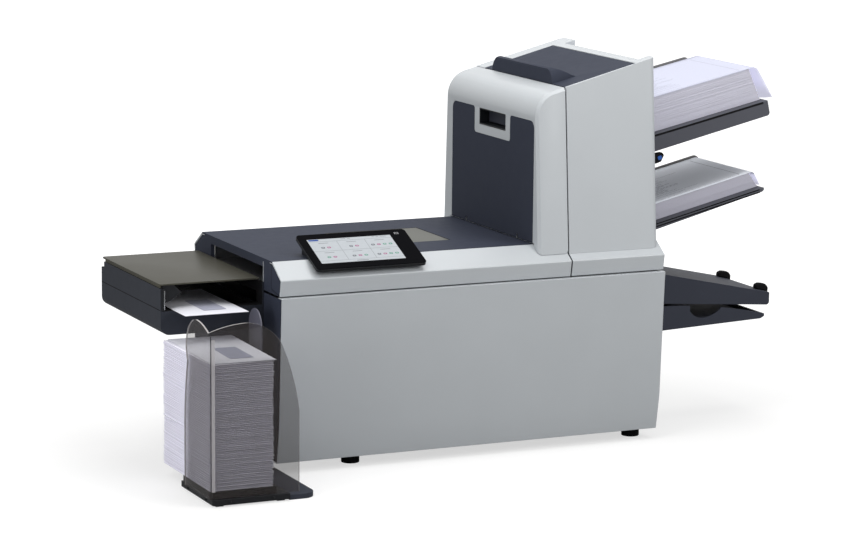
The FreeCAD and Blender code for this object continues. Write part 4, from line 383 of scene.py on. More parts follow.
def sheet_mesh(name, lower, upper, materials):
    """A closed smooth sheet between two grids of points, each a list of rows."""
    deep, wide = len(lower), len(lower[0])
    layer = wide * deep
    faces = []
    for j in range(deep - 1):
        for i in range(wide - 1):
            low = j * wide + i
            high = low + layer
            faces.append((low, low + wide, low + wide + 1, low + 1))
            faces.append((high, high + 1, high + wide + 1, high + wide))
    border = [(0, i) for i in range(wide)] + [(j, wide - 1) for j in range(1, deep)]
    border += [(deep - 1, i) for i in range(wide - 2, -1, -1)] + [(j, 0) for j in range(deep - 2, 0, -1)]
    for (j, i), (next_j, next_i) in zip(border, border[1:] + border[:1]):
        low, after = j * wide + i, next_j * wide + next_i
        faces.append((low, after, after + layer, low + layer))
    points = [point for grid in (lower, upper) for row in grid for point in row]
    mesh = new_mesh(name, points, faces, materials)
    for polygon in mesh.polygons:
        polygon.use_smooth = True
    return mesh


def rounded_outline(width, height, radius):
    """Corner-rounded rectangle from (0, 0) to (width, height), anticlockwise."""
    points = []
    for centre_x, centre_y, start in ((width - radius, radius, -90), (width - radius, height - radius, 0),
                                      (radius, height - radius, 90), (radius, radius, 180)):
        for step in range(CORNER_STEPS + 1):
            angle = math.radians(start + 90 * step / CORNER_STEPS)
            points.append((centre_x + radius * math.cos(angle), centre_y + radius * math.sin(angle)))
    return points


class Slabs:
    """Thin flat shapes gathered in one piece, laid on a plane with its own two directions.

    levels are a shape's underside and top above the plane, and kind is its place in the materials.
    """

    def __init__(self, origin, across, up):
        self.origin = Vector(origin)
        self.across = Vector(across).normalized()
        self.up = Vector(up).normalized()
        self.out = self.across.cross(self.up)
        self.points = []
        self.faces = []
        self.kinds = []

    def place(self, u, v, w):
        return self.origin + (self.across * u + self.up * v + self.out * w) * MM

    def add(self, outline, levels, kind=0):
        start = len(self.points)
        count = len(outline)
        for level in levels:
            self.points += [self.place(u, v, level) for u, v in outline]
        self.faces.append(tuple(reversed(range(start, start + count))))
        self.faces.append(tuple(range(start + count, start + 2 * count)))
        self.faces += wall(start, count)
        self.kinds += [kind] * (count + 2)

    def rectangle(self, u, v, width, height, levels, kind=0, radius=0.0):
        if radius:
            outline = rounded_outline(width, height, radius)
        else:
            outline = [(0, 0), (width, 0), (width, height), (0, height)]
        self.add([(u + x, v + y) for x, y in outline], levels, kind)

    def piece(self, name, materials, body, slot):
        mesh = new_mesh(name, self.points, self.faces, materials)
        for polygon, kind in zip(mesh.polygons, self.kinds):
            polygon.material_index = kind
        make_piece(name, mesh, body)


def turned_piece(name, profile, centre, axis, body, material, steps):
    """A lathed steel part: profile is (radius, height) in millimetres along axis from centre."""
    axis = Vector(axis).normalized()
    side = axis.orthogonal().normalized()
    other = axis.cross(side)
    rings = []
    for radius, height in profile:
        ring = []
        for step in range(steps):
            angle = 2 * math.pi * step / steps
            outward = side * math.cos(angle) + other * math.sin(angle)
            ring.append(Vector(centre) + (axis * height + outward * radius) * MM)
        rings.append(ring)
    mesh = ring_mesh(name, rings, [material])
    shade_smooth(mesh, TURNED_ANGLE)
    make_piece(name, mesh, body)


def screw(name, centre, axis, body):
    """Black pan-head screw with a round socket."""
    profile = [(SCREW_RADIUS * out, SCREW_RADIUS * along) for out, along in SCREW_PROFILE]
    turned_piece(name, profile, centre, axis, body, FINISH["black_plastic"], SCREW_STEPS)


# Tilted loads

UPPER_TILT = 12.7
LOWER_TILT = 13.5
LEVEL_BAND = 0.2
SHEET_LAYER = 1.2
SHEET_SHIFT = 0.35
SHEET_SLIDE = 0.45
# One layer of sheets from its underside up: share of its height and how far it stands back
LAYER_PROFILE = ((0.06, 0.32), (0.3, 0.0), (0.7, 0.0), (0.94, 0.32))
# The top sheet's fold past the stack's end: out along the slope and down from it
UPPER_FLAP = ((8, 0), (12, 0.6), (15.5, 3), (18, 7), (20, 12), (28, 35), (37.5, 63))
LOWER_FLAP = ((4, 0), (7, 0.5), (9.5, 2.5), (11, 6), (14, 16), (17, 28))
FLAP_FROM = 12
SHEET_START = 8
SHEET_FRONT = 0.6
# The top sheet's steps along its flat part and across, and its two faces above the stack
SHEET_STEPS = (6, 14)
SHEET_LEVELS = (0.5, 0.9)
SHEET_SAG = 0.12
SAG_SHARE = 1.6
PRINT_LEVELS = (0.92, 1.0)
PRINT_PITCH = 5.5
PRINT_MARGIN = 20
# The border lines keep these distances from the sheet's front, its free end and its back
BORDER_FRONT = 9
BORDER_END = 14
BORDER_BACK = 15
BORDER_WIDTH = 1.0
# The printed block's start along and across the sheet, its rows and its width
PRINT_BLOCK = (60, 46, 18, 130)


def tilted_span(node, tilt):
    """Extents of a node in a frame turned by tilt about y: its bottom and top along the slope."""
    turn = Matrix.Rotation(math.radians(tilt), 3, "Y")
    places = [turn @ vertex.co for vertex in frame["nodes"][node].data.vertices]
    low = min(place.z for place in places)
    high = max(place.z for place in places)
    bottom = [place.x for place in places if place.z < low + LEVEL_BAND * MM]
    top = [place.x for place in places if place.z > high - LEVEL_BAND * MM]
    across = [place.y for place in places]
    return {
        "back_turn": turn.transposed(),
        "low": low,
        "high": high,
        "bottom": (min(bottom), max(bottom)),
        "top": (min(top), max(top)),
        "front": min(across),
        "back": max(across),
    }


def rectangle_ring(start, end, front, back, height, per_side=1):
    corners = [(start, front), (end, front), (end, back), (start, back)]
    ring = []
    for index, corner in enumerate(corners):
        after = corners[(index + 1) % 4]
        for step in range(per_side):
            share = step / per_side
            ring.append(Vector((corner[0] + (after[0] - corner[0]) * share,
                                corner[1] + (after[1] - corner[1]) * share, height)))
    return ring


def sheet_stack(node, tilt, edges):
    """A ream whose sheet edges stand in and out by a fraction of a millimetre."""
    span = tilted_span(node, tilt)
    count = int((span["high"] - span["low"]) / (SHEET_LAYER * MM))
    rise = (span["high"] - span["low"]) / count
    rings = []
    for index in range(count):
        share = (index + 0.5) / count
        start = span["bottom"][0] + (span["top"][0] - span["bottom"][0]) * share
        end = span["bottom"][1] + (span["top"][1] - span["bottom"][1]) * share
        shift = random.uniform(-SHEET_SHIFT, SHEET_SHIFT) * MM
        slide = random.uniform(-SHEET_SLIDE, SHEET_SLIDE) * MM
        base = span["low"] + index * rise
        for part, inset in LAYER_PROFILE:
            ring = rectangle_ring(start + slide + inset * MM, end + slide - inset * MM,
                                  span["front"] + shift + inset * MM, span["back"] + shift - inset * MM,
                                  base + part * rise)
            rings.append([span["back_turn"] @ point for point in ring])
    mesh = ring_mesh(node + "_sheets", rings, [edges, FINISH["paper"]])
    body = frame["nodes"][node]["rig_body"]
    make_piece(node + "_sheets", mesh, body, (node,))
    return span, body


def loose_sheet(name, span, body, flap, top):
    """The top sheet: flat on the stack, past its free end it folds down along flap."""
    along_steps, across_steps = SHEET_STEPS
    front = span["front"] - SHEET_FRONT * MM
    back = span["back"]
    start = span["top"][0] + SHEET_START * MM
    end = span["top"][1]
    path = [(start + (end - start) * step / along_steps, 0.0) for step in range(along_steps + 1)]
    path += [(end + out * MM, down) for out, down in flap]
    grids = ([], [])
    for grid, level in zip(grids, SHEET_LEVELS):
        for column in range(across_steps + 1):
            share = column / across_steps
            place_y = front + (back - front) * share
            deeper = 1 + SHEET_SAG * math.sin(math.pi * min(1.0, share * SAG_SHARE))
            row = []
            for along, down in path:
                point = Vector((along, place_y, span["high"] + (level - down * deeper) * MM))
                row.append(span["back_turn"] @ point)
            grid.append(row)
    mesh = sheet_mesh(name, *grids, [top, FLAP_PAINTED_BACKLIGHT])
    turn = span["back_turn"].transposed()
    # Painted light: the faces past the fold take the glowing flap material
    for polygon in mesh.polygons:
        polygon.material_index = int((turn @ polygon.center).x > end + FLAP_FROM * MM)
    make_piece(name, mesh, body)


def printed_page(name, span, body, material):
    """Border lines along the sheet's edges and rows of short strokes, unreadable from a step away."""
    origin = span["back_turn"] @ Vector((span["top"][0], span["front"], span["high"]))
    along = span["back_turn"] @ Vector((1, 0, 0))
    page = Slabs(origin, along, (0, 1, 0))
    length = (span["top"][1] - span["top"][0]) / MM
    depth = (span["back"] - span["front"]) / MM
    page.rectangle(PRINT_MARGIN, BORDER_FRONT, length - PRINT_MARGIN - BORDER_END, BORDER_WIDTH,
                   PRINT_LEVELS)
    page.rectangle(length - BORDER_END - BORDER_WIDTH, BORDER_FRONT, BORDER_WIDTH,
                   depth - BORDER_FRONT - BORDER_BACK, PRINT_LEVELS)
    for across in (24, 36, depth - 60, depth - 40):
        page.rectangle(PRINT_MARGIN, across, length * random.uniform(0.45, 0.7), 0.8, PRINT_LEVELS)
    first, side, rows, width = PRINT_BLOCK
    for row in range(rows):
        u = first
        end = first + width * random.uniform(0.55, 1.0)
        while u < end:
            stroke = random.uniform(3, 11)
            page.rectangle(u, side + row * PRINT_PITCH, stroke, 1.3, PRINT_LEVELS)
            u += stroke + random.uniform(1.2, 2.2)
    page.piece(name, [material], body, "paper")


def make_loads():
    for shelf, tilt, edges, flap, top, ink in (
            ("upper", UPPER_TILT, SHEET_EDGES, UPPER_FLAP, UPPER_TOP_PAINTED_SHADE, FAINT_PRINT),
            ("lower", LOWER_TILT, LOWER_EDGES_PAINTED_SHADE, LOWER_FLAP, LOWER_TOP_PAINTED_LIGHT, PRINT)):
        span, body = sheet_stack("paper_stack_" + shelf, tilt, edges)
        loose_sheet("loose_sheet_" + shelf, span, body, flap, top)
        printed_page("print_" + shelf, span, body, ink)


# Envelopes

ENVELOPE_PITCH = 3.0
PILE_ROOM = 2.2
PILE_INSET_X = 1.6
PILE_INSET_Y = 0.8
# One filled envelope from its underside up: share of its height and how far it stands back
ENVELOPE_PROFILE = ((0.03, 2.4), (0.25, 0.25), (0.50, 0.0), (0.72, 0.25), (0.92, 2.4))
POINTS_PER_SIDE = 7
DRIFT = 0.35
DRIFT_KEPT = 0.82
SLIDE_X = 0.9
SLIDE_Y = 0.6
TWIST = 0.25
BOW = 0.35
RIPPLE = 0.16
FADE_LAYERS = 6
# Steps across and along an envelope
ENVELOPE_GRID = (12, 20)
ENVELOPE_ANGLE = 40
# The address window's place and size, as shares of the envelope's width and length
ENVELOPE_WINDOW = (0.38, 0.12, 0.36, 0.42)
WINDOW_CORNER = 3
ADDRESS_LINES = 5
TOP_ENVELOPE_SIZE = (114, 224)
TOP_ENVELOPE_TURN = -1.6
TOP_ENVELOPE_INSET = 3
TOP_ENVELOPE_RISE = 0.4
TOP_ENVELOPE_THICKNESS = 1.2
LEAVING_ENVELOPE_THICKNESS = 2.4


def envelope_pile():
    """Filled envelopes on the stacker, each a little out of line, with bowed edges."""
    low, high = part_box("envelope_stack")
    envelope = ENVELOPE_PITCH * MM
    count = int((high.z - low.z - PILE_ROOM * MM) / envelope)
    middle = Vector(((low.x + high.x) / 2, (low.y + high.y) / 2))
    rings = []
    drift = 0.0
    for index in range(count):
        drift = DRIFT_KEPT * drift + random.uniform(-DRIFT, DRIFT)
        slide_x = (random.uniform(-SLIDE_X, SLIDE_X) + drift) * MM
        slide_y = random.uniform(-SLIDE_Y, SLIDE_Y) * MM
        twist = Matrix.Rotation(math.radians(random.uniform(-TWIST, TWIST)), 2)
        wave = random.uniform(0, 2 * math.pi)
        bow = BOW * MM * math.sin(index * 0.55)
        fade = min(1.0, index / FADE_LAYERS, (count - 1 - index) / FADE_LAYERS)
        for part, inset in ENVELOPE_PROFILE:
            gap_x = (inset + PILE_INSET_X) * MM
            gap_y = (inset + PILE_INSET_Y) * MM
            ring = rectangle_ring(low.x + gap_x, high.x - gap_x, low.y + gap_y, high.y - gap_y, 0,
                                  POINTS_PER_SIDE)
            turned = []
            for order, point in enumerate(ring):
                place = Vector((point.x - middle.x, point.y - middle.y))
                place.rotate(twist)
                share = order / len(ring) * 2 * math.pi
                lift = bow * math.sin(2 * share) + RIPPLE * MM * math.sin(5 * share + wave)
                turned.append(Vector((middle.x + place.x + slide_x, middle.y + place.y + slide_y,
                                      low.z + (index + part) * envelope + lift * fade)))
            rings.append(turned)
    mesh = ring_mesh("envelope_pile", rings, [PILE])
    make_piece("envelope_pile", mesh, "stacker", ("envelope_stack",))
    return low.z + count * envelope


def envelope_piece(name, plane, size, thick, body, stands_for=()):
    """One envelope on a plane, with a folded rim, a bulged face and an address window."""
    width, length = size
    columns, rows = ENVELOPE_GRID
    lower, upper = [], []
    for row in range(rows + 1):
        v = row / rows
        underside, face = [], []
        for column in range(columns + 1):
            u = column / columns
            bulge = (math.sin(math.pi * u) * math.sin(math.pi * v)) ** 0.5
            underside.append(plane.place(u * width, v * length, -0.02))
            face.append(plane.place(u * width, v * length, thick * (0.25 + 0.75 * bulge)))
        lower.append(underside)
        upper.append(face)
    mesh = sheet_mesh(name, lower, upper, [FINISH["paper"]])
    mesh.set_sharp_from_angle(angle=math.radians(ENVELOPE_ANGLE))
    make_piece(name, mesh, body, stands_for)

    left, low, wide, long = (share * side for share, side in zip(ENVELOPE_WINDOW, size + size))
    plane.rectangle(left, low, wide, long, (thick * 0.9, thick + 0.12), radius=WINDOW_CORNER)
    for line in range(ADDRESS_LINES):
        across = left + wide * (0.2 + 0.6 * line / (ADDRESS_LINES - 1))
        reach = long * random.uniform(0.45, 0.8)
        plane.rectangle(across, low + long * 0.92 - reach, 1.4, reach, (thick + 0.1, thick + 0.2), 1)
    plane.piece(name + "_window", [WINDOW_FILM, PRINT], body, "paper")


def make_envelopes():
    """The pile on the stacker with its top envelope, and the one that is coming out."""
    pile_top = envelope_pile()
    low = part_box("envelope_stack")[0]
    turn = math.radians(TOP_ENVELOPE_TURN)
    inset = TOP_ENVELOPE_INSET * MM
    plane = Slabs((low.x + inset, low.y + inset, pile_top + TOP_ENVELOPE_RISE * MM),
                  (math.cos(turn), math.sin(turn), 0), (-math.sin(turn), math.cos(turn), 0))
    envelope_piece("top_envelope", plane, TOP_ENVELOPE_SIZE, TOP_ENVELOPE_THICKNESS, "stacker")
    low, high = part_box("exit_envelope")
    plane = Slabs(low, (1, 0, 0), (0, 1, 0))
    size = ((high.x - low.x) / MM, (high.y - low.y) / MM)
    envelope_piece("leaving_envelope", plane, size, LEAVING_ENVELOPE_THICKNESS, "machine",
                   ("exit_envelope",))


# Touch screen

SCREEN_TILT = 23
SCREEN_LENGTH = 110
# The lit page from the glass's lower left corner: left, low, width and height
DISPLAY = (14.5, 17.0, 156, 76)
HEADER = 8.5
FOOTER = 7.0
COLUMNS = 3
LINE_WIDTH = 0.8
MARK_PITCH = 11
PAGE_LEVELS = (0.02, 0.10)
LINE_LEVELS = (0.10, 0.15)
MARK_LEVELS = (0.10, 0.2)
MARK_MIDDLE_LEVELS = (0.2, 0.24)
DISPLAY_COLOURS = {
    "page": (0.66, 0.70, 0.74), "line": (0.40, 0.43, 0.46), "blue": (0.02, 0.09, 0.42),
    "dark": (0.12, 0.13, 0.15), "pink": (0.50, 0.10, 0.28), "green": (0.10, 0.38, 0.26),
    "grey": (0.30, 0.31, 0.34),
}
KEY_MARK = (180.5, SCREEN_LENGTH - 15.5)
KEY_MARK_SIZE = (7.5, 5.1)
KEY_MARK_LINE = 0.7
KEY_LEVELS = (0.02, 0.08)


def screen_plane():
    """The glass face: its lower left corner and its direction up the slope."""
    tilt = math.radians(SCREEN_TILT)
    up = Vector((0, math.cos(tilt), math.sin(tilt)))
    out = Vector((0, -math.sin(tilt), math.cos(tilt)))
    places = [vertex.co for vertex in frame["nodes"]["screen_glass"].data.vertices]
    face = max(place.dot(out) for place in places)
    low = min(place.dot(up) for place in places)
    left = min(place.x for place in places)
    return Vector((left, 0, 0)) + up * low + out * face, up


def make_display():
    """A lit page with a header, a footer and six tiles of coloured marks, and a key mark at its right."""
    origin, up = screen_plane()
    screen = Slabs(origin, (1, 0, 0), up)
    left, low, width, height = DISPLAY
    page, line, blue, dark, pink, green, grey = range(len(DISPLAY_COLOURS))
    screen.rectangle(left, low, width, height, PAGE_LEVELS, page)
    top = low + height
    screen.rectangle(left + 2, top - 5.2, 19, 4.0, (0.10, 0.16), blue, radius=1.9)
    for start, length in ((62, 9), (74, 6), (120, 5), (128, 5), (136, 12)):
        screen.rectangle(left + start, top - 3.6, length, 1.3, LINE_LEVELS, grey)
    for level in (top - HEADER, low + FOOTER):
        screen.rectangle(left, level, width, 0.7, LINE_LEVELS, line)
    screen.rectangle(left + 66, low + 2.6, 22, 1.6, LINE_LEVELS, grey)
    tile_width = width / COLUMNS
    tile_height = (height - HEADER - FOOTER) / 2
    for column in range(1, COLUMNS):
        screen.rectangle(left + column * tile_width, low + FOOTER, LINE_WIDTH, 2 * tile_height, LINE_LEVELS,
                         line)
    screen.rectangle(left, low + FOOTER + tile_height, width, LINE_WIDTH, LINE_LEVELS, line)
    marks = (((dark, pink), (dark, pink), (dark, pink, green, green)),
             ((green, pink), (dark, pink, green), (dark, pink, green, green)))
    for row, tiles in enumerate(marks):
        base = low + FOOTER + tile_height * (1 - row)
        for column, tile in enumerate(tiles):
            centre = left + tile_width * (column + 0.5)
            screen.rectangle(centre - 9, base + tile_height - 5.5, 18, 1.2, LINE_LEVELS, grey)
            for order, kind in enumerate(tile):
                u = centre + (order - (len(tile) - 1) / 2) * MARK_PITCH - 3.2
                screen.rectangle(u, base + 9, 6.4, 4.6, MARK_LEVELS, kind, radius=1.6)
                screen.rectangle(u + 1.4, base + 10.4, 3.6, 1.8, MARK_MIDDLE_LEVELS, page)
    materials = [glow("display_" + name, colour) for name, colour in DISPLAY_COLOURS.items()]
    screen.piece("display", materials, "cover", "screen_glass")

    key = Slabs(origin, (1, 0, 0), up)
    u, v = KEY_MARK
    wide, tall = KEY_MARK_SIZE
    for level in (v, v + tall - KEY_MARK_LINE):
        key.rectangle(u, level, wide, KEY_MARK_LINE, KEY_LEVELS)
    for side in (u, u + wide - KEY_MARK_LINE):
        key.rectangle(side, v, KEY_MARK_LINE, tall, KEY_LEVELS)
    key.piece("screen_key", [glow("key_mark", (0.75, 0.76, 0.78))], "cover", "screen_glass")


# The machine

OWN_PIECES = ("paper_stack_upper", "paper_stack_lower", "envelope_stack", "exit_envelope",
              "stacker_guide", "stacker_foot", "window_pane", "upper_lever", "exit_shell")
OWN_FINISH = {
    "upper_tray": RAIL_FINISH, "lower_tray": RAIL_FINISH,
    "upper_guide": GUIDE_FINISH, "lower_guide": GUIDE_FINISH, "door_latch": FINISH["slate_plastic"],
    "lower_lever": FINISH["slate_plastic"],
}
WINDOW_GAP = 2.0
WINDOW_GAP_INSET = 0.4
WINDOW_GAP_LEVELS = (0.02, 0.10)
LEVER_SLOPE = 0.35
# The lever's blue face: its corner from the knob's right and bottom, then its size
LEVER_FACE_START = (12, 6)
LEVER_FACE = (8, 7)
TONGUE_FROM = 0.130
# The left end of the cover, in metres; then places on it from the middle plane and the floor
CHEEK_X = -0.4202
THROAT_POST = (-0.4165, 0.190, 0.3165)
POST_RADII = (0.9, 1.5)
POST_PITCH = 4.0
POST_RINGS = 12
THROAT_HIGHLIGHT = (51.5, 313.5, 2.2, 47.5)
CHEEK_SEAM = (88.5, 319.0, 0.9, 43.0)
CHEEK_SEAM_FOOT = ((88.5, 319.0), (128.6, 312.6), (128.6, 313.5), (89.4, 319.9))
# Dark bands along each feeder rail, the top one a painted shadow under the sheets: the drop below the
# rail's top and the height of each
RAIL_BANDS = (("upper_tray", UPPER_TILT, ((0.4, 3.6),)),
              ("lower_tray", LOWER_TILT, ((0.4, 2.2), (5.0, 2.4))))
SHADE_BAND_START = 2
SHADE_BAND_SHORTER = 12
SHADE_BAND_LEVELS = (-0.05, 0.25)
# The step in the exit unit's side wall, above the floor
EXIT_STEP = 288.0
EXIT_LINE = 1.3
EXIT_LINE_LEVELS = (-0.05, 0.15)
EXIT_INNER_FLOOR = 12
EXIT_STRIP = (1.0, EXIT_STEP, 7.0, 37.0)
EXIT_BRIGHT_LINE = (6.2, EXIT_STEP + 2.0, EXIT_LINE, 33.0)
# Faces of the bent guide that are narrower than this are its edges
GUIDE_EDGE_LIMIT = 3.5
GUIDE_CORNER = 8
GUIDE_FOOT = 12
GUIDE_TOP_ROOM = 8
# The bend's painted dark line and the painted highlight band beside it: start and width
BEND_LINE = (3.4, 1.3)
BEND_BAND = (5.2, 6.0)
SCREW_HEIGHT = 8


def dress_machine():
    """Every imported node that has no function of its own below."""
    for node in sorted(frame["nodes"]):
        if node not in OWN_PIECES:
            dress(node, OWN_FINISH.get(node))


def make_window():
    """The smoked pane, with painted shade for the dark gap behind it and at its right."""
    dress("window_pane", WINDOW_PANE)
    low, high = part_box("window_pane")
    width, depth = (high.x - low.x) / MM, (high.y - low.y) / MM
    start = WINDOW_GAP_INSET
    # Painted shade: dark strips along the pane's back and right edges, where the gap lies in shadow
    gap = Slabs((low.x, low.y, high.z), (1, 0, 0), (0, 1, 0))
    gap.rectangle(start, depth - start - WINDOW_GAP, width - 2 * start, WINDOW_GAP, WINDOW_GAP_LEVELS)
    gap.rectangle(width - start - WINDOW_GAP, start, WINDOW_GAP, depth - 2 * start, WINDOW_GAP_LEVELS)
    gap.piece("window_gap_painted_shade", [FINISH["rubber"]], "cover", "black_plastic")


def make_lever():
    """The upper separation lever: a black knob with a blue face to the front."""
    dress("upper_lever", FINISH["rubber"])
    low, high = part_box("upper_lever")
    corner = (high.x - LEVER_FACE_START[0] * MM, low.y, low.z + LEVER_FACE_START[1] * MM)
    face = Slabs(corner, (1, 0, LEVER_SLOPE), (-LEVER_SLOPE, 0, 1))
    face.rectangle(0, 0, *LEVER_FACE, (-0.1, 0.8), radius=2)
    face.piece("lever_face", [FINISH["blue_plastic"]], frame["nodes"]["upper_lever"]["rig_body"],
               "blue_plastic")


def make_foot():
    """The slate foot of the stacker, with its upright tongue of smoked sheet."""
    foot = dress("stacker_foot")
    foot.data.materials.append(TONGUE)
    for polygon in foot.data.polygons:
        if polygon.center.z > TONGUE_FROM:
            polygon.material_index = 1


def make_cheek_details():
    """On the left end: the steel post in the throat, a pale painted highlight strip beside it and the panel
    seam.
    """
    beads = [(POST_RADII[step % 2], POST_PITCH * step) for step in range(POST_RINGS)]
    turned_piece("throat_post", beads, THROAT_POST, (0, 0, 1), "cover", POLISHED, steps=12)
    face = Slabs((CHEEK_X, 0, 0), (0, -1, 0), (0, 0, 1))
    # Painted highlight: a pale strip where an upright edge catches the light
    face.rectangle(*THROAT_HIGHLIGHT, (-0.02, 0.5))
    face.rectangle(*CHEEK_SEAM, (-0.02, 0.12), 1)
    face.add(CHEEK_SEAM_FOOT, (-0.02, 0.12), 1)
    face.piece("cheek_highlight_and_seam", [FINISH["rear_grey_paint"], FINISH["rubber"]], "cover", "slate_paint")


def make_rail_shade_bands():
    """Dark bands along the feeder rails, the top one on each a painted shadow of the gap under the sheets.
    """
    for node, tilt, bands in RAIL_BANDS:
        span = tilted_span(node, tilt)
        turn = span["back_turn"]
        start, end = span["top"]
        origin = turn @ Vector((start, span["front"], span["high"]))
        shade_band = Slabs(origin, turn @ Vector((1, 0, 0)), turn @ Vector((0, 0, 1)))
        length = (end - start) / MM - SHADE_BAND_SHORTER
        for drop, height in bands:
            # Painted shadow: the top band stands in for the shade in the gap under the sheets
            shade_band.rectangle(SHADE_BAND_START, -drop - height, length, height, SHADE_BAND_LEVELS)
        shade_band.piece(node + "_channel", [FINISH["rubber"]], "machine", "slate_plastic")


def make_exit_shell():
    """The exit shell: slate outside and black inside, with a line where its side wall steps."""
    shell = dress("exit_shell", EXIT_WALL)
    shell.data.materials.append(FINISH["rubber"])
    low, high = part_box("exit_shell")
    for polygon in shell.data.polygons:
        inner = polygon.center.x > low.x + MM and polygon.center.y > low.y + MM
        if inner and polygon.center.z > low.z + EXIT_INNER_FLOOR * MM:
            polygon.material_index = 1
    side = Slabs((low.x, 0, 0), (0, -1, 0), (0, 0, 1))
    side.rectangle(-high.y / MM + 1.5, EXIT_STEP, (high.y - low.y) / MM - 3, EXIT_LINE,
                   EXIT_LINE_LEVELS)
    side.piece("exit_step_line", [FINISH["rubber"]], "machine", "black_plastic")


def make_exit_strip():
    """The black upright strip on the side wall's front edge, with its bright line."""
    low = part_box("exit_shell")[0]
    edge = Slabs((low.x, low.y, 0), (1, 0, 0), (0, 0, 1))
    edge.rectangle(*EXIT_STRIP, (-0.5, 0.8), radius=1.0)
    edge.rectangle(*EXIT_BRIGHT_LINE, (0.8, 1.1), 1)
    edge.piece("exit_edge_strip", [FINISH["black_plastic"], POLISHED], "machine", "black_plastic")


def make_guide():
    """The bent smoked sheet: clear faces, a paler worked edge, and a painted dark line and painted
    highlight band along its bend.
    """
    guide = dress("stacker_guide", GUIDE_FACE, segments=2)
    guide.data.materials.append(GUIDE_EDGE)
    for polygon in guide.data.polygons:
        places = [guide.data.vertices[index].co for index in polygon.vertices]
        spans = sorted(max(axis) - min(axis) for axis in zip(*places))
        if spans[1] < GUIDE_EDGE_LIMIT * MM:
            polygon.material_index = 1
    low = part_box("stacker_guide")[0]
    reach = GUIDE_CORNER * MM
    corner = [vertex.co.z for vertex in frame["nodes"]["stacker_guide"].data.vertices
              if vertex.co.x < low.x + reach and vertex.co.y < low.y + reach]
    bottom = low.z + GUIDE_FOOT * MM
    tall = (max(corner) - bottom) / MM - GUIDE_TOP_ROOM
    # Painted shade and highlight: a dark line and a pale band laid along the bend
    bend = Slabs((low.x, low.y, bottom), (1, 0, 0), (0, 0, 1))
    bend.rectangle(BEND_LINE[0], 0, BEND_LINE[1], tall, (-0.05, 0.3))
    bend.rectangle(BEND_BAND[0], 0, BEND_BAND[1], tall - 6, (-0.05, 0.2), 1)
    bend.piece("guide_bend", [FINISH["rubber"], BEND_PAINTED_HIGHLIGHT], "stacker", "smoked_acrylic")


def make_fasteners():
    """Two screws in the front and two in the left side of the stacker's base."""
    low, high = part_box("stacker_base")
    height = low.z + SCREW_HEIGHT * MM
    for order, share in enumerate((0.22, 0.78)):
        place = (low.x + (high.x - low.x) * share, low.y, height)
        screw(f"base_screw_{order}", place, (0, -1, 0), "stacker")
        place = (low.x, low.y + (high.y - low.y) * share, height)
        screw(f"base_side_screw_{order}", place, (-1, 0, 0), "stacker")


# Stage, light and camera

FLOOR_REACH = 9.0
FLOOR_COLOUR = (0.40, 0.40, 0.40)
# The floor's own light grows from the first value to the second between these distances
FLOOR_FADE = (0.7, 2.4)
FLOOR_LIGHT = (0.62, 1.0)
WORLD_COLOUR = (0.96, 0.98, 1.0, 1)
WORLD_LIGHT = 0.33
LAMP_COLOUR = (1.0, 0.99, 0.97)
# Name, place, target, size, power and whether glossy faces show it
LAMPS = (
    ("key", (1.1, -1.9, 1.4), (0.2, 0, 0.45), 1.0, 23, True),
    ("top", (0.1, -0.2, 2.2), (0.1, 0.1, 0.45), 1.4, 19, True),
    ("left", (-1.8, -0.9, 2.4), (0.1, 0, 0.45), 1.4, 21, False),
    ("low left", (-1.6, -0.55, 0.35), (-0.6, -0.2, 0.12), 0.8, 6, False),
    ("back", (0.6, 1.6, 2.6), (0.1, 0.1, 0.45), 1.6, 27, False),
)
CAMERA_AZIMUTH = -24.5
CAMERA_ELEVATION = 10.1
CAMERA_ROLL = 0.5
CAMERA_TARGET = (-0.0445, 0.1065, 0.2803)
CAMERA_DISTANCE = 5.770
CAMERA_LENS = 135.53
CAMERA_SENSOR = 36
CAMERA_CLIP_END = 100


def make_floor():
    """A white floor that gives its own light to the camera, less of it near the machine."""
    material, tree, shader = new_material("floor_finish")
    tree.links.new(mottled(tree, noise(tree, 2), FLOOR_COLOUR, 0.01), shader.inputs["Base Color"])
    shader.inputs["Roughness"].default_value = 0.9
    shader.inputs["Specular IOR Level"].default_value = 0.1
    place = tree.nodes.new("ShaderNodeTexCoord")
    away = tree.nodes.new("ShaderNodeVectorMath")
    away.operation = "LENGTH"
    tree.links.new(place.outputs["Object"], away.inputs[0])
    level = add_node(tree, "ShaderNodeMapRange", From_Min=FLOOR_FADE[0], From_Max=FLOOR_FADE[1],
                     To_Min=FLOOR_LIGHT[0], To_Max=FLOOR_LIGHT[1])
    tree.links.new(away.outputs["Value"], level.inputs["Value"])
    rays = tree.nodes.new("ShaderNodeLightPath")
    seen = combine(tree, "MULTIPLY", level.outputs["Result"], rays.outputs["Is Camera Ray"])
    shader.inputs["Emission Color"].default_value = (1, 1, 1, 1)
    tree.links.new(seen, shader.inputs["Emission Strength"])
    corners = [(x * FLOOR_REACH, y * FLOOR_REACH, 0) for x, y in ((-1, -1), (1, -1), (1, 1), (-1, 1))]
    floor = bpy.data.objects.new("floor", new_mesh("floor", corners, [(0, 1, 2, 3)], [material]))
    bpy.context.scene.collection.objects.link(floor)


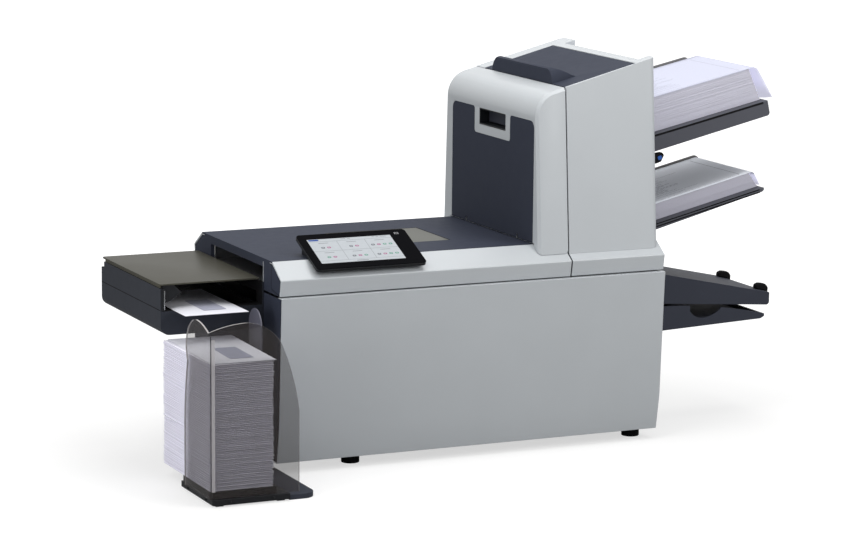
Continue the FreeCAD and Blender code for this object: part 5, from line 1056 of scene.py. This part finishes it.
def make_world():
    """White where the camera, gloss or glass looks, and a low even light for the rest."""
    world = bpy.data.worlds.new("studio")
    bpy.context.scene.world = world
    world.use_nodes = True
    tree = world.node_tree
    tree.nodes.clear()
    rays = tree.nodes.new("ShaderNodeLightPath")
    light = add_node(tree, "ShaderNodeBackground", Color=WORLD_COLOUR, Strength=WORLD_LIGHT)
    white = add_node(tree, "ShaderNodeBackground", Color=(1, 1, 1, 1), Strength=1.0)
    total = rays.outputs["Is Camera Ray"]
    for ray in ("Is Glossy Ray", "Is Transmission Ray"):
        total = combine(tree, "MAXIMUM", total, rays.outputs[ray])
    mix = tree.nodes.new("ShaderNodeMixShader")
    tree.links.new(total, mix.inputs["Fac"])
    tree.links.new(light.outputs[0], mix.inputs[1])
    tree.links.new(white.outputs[0], mix.inputs[2])
    output = tree.nodes.new("ShaderNodeOutputWorld")
    tree.links.new(mix.outputs[0], output.inputs["Surface"])


def make_lamp(name, place, target, size, power, mirrored):
    """A soft square lamp that looks at target; mirrored is whether glossy faces show it."""
    lamp = bpy.data.lights.new(name, "AREA")
    lamp.shape = "SQUARE"
    lamp.size = size
    lamp.energy = power
    lamp.color = LAMP_COLOUR
    holder = bpy.data.objects.new(name, lamp)
    holder.location = place
    holder.rotation_mode = "QUATERNION"
    holder.rotation_quaternion = (Vector(target) - Vector(place)).to_track_quat("-Z", "Y")
    holder.visible_glossy = mirrored
    bpy.context.scene.collection.objects.link(holder)


def make_camera():
    """Camera at the photograph's viewing angle, in metres in the part's own frame."""
    angles = (CAMERA_AZIMUTH, CAMERA_ELEVATION, CAMERA_ROLL)
    azimuth, elevation, roll = (math.radians(angle) for angle in angles)
    back = Vector((math.sin(azimuth) * math.cos(elevation), -math.cos(azimuth) * math.cos(elevation),
                   math.sin(elevation)))
    right = Vector((0, 0, 1)).cross(back).normalized()
    up = back.cross(right)
    turned_right = right * math.cos(roll) + up * math.sin(roll)
    turned_up = up * math.cos(roll) - right * math.sin(roll)
    camera = bpy.data.objects.new("camera", bpy.data.cameras.new("camera"))
    camera.data.sensor_width = CAMERA_SENSOR
    camera.data.lens = CAMERA_LENS
    camera.data.clip_end = CAMERA_CLIP_END
    axes = Matrix((turned_right, turned_up, back)).transposed()
    place = Vector(CAMERA_TARGET) + back * CAMERA_DISTANCE
    camera.matrix_world = Matrix.Translation(place) @ axes.to_4x4()
    bpy.context.scene.collection.objects.link(camera)
    bpy.context.scene.camera = camera


dress_machine()
make_window()
make_lever()
make_foot()
make_cheek_details()
make_exit_shell()
make_exit_strip()
make_rail_shade_bands()
make_guide()
make_loads()
make_envelopes()
make_display()
make_fasteners()
make_floor()
make_world()
for lamp in LAMPS:
    make_lamp(*lamp)
make_camera()
bpy.context.scene.view_settings.view_transform = "Standard"
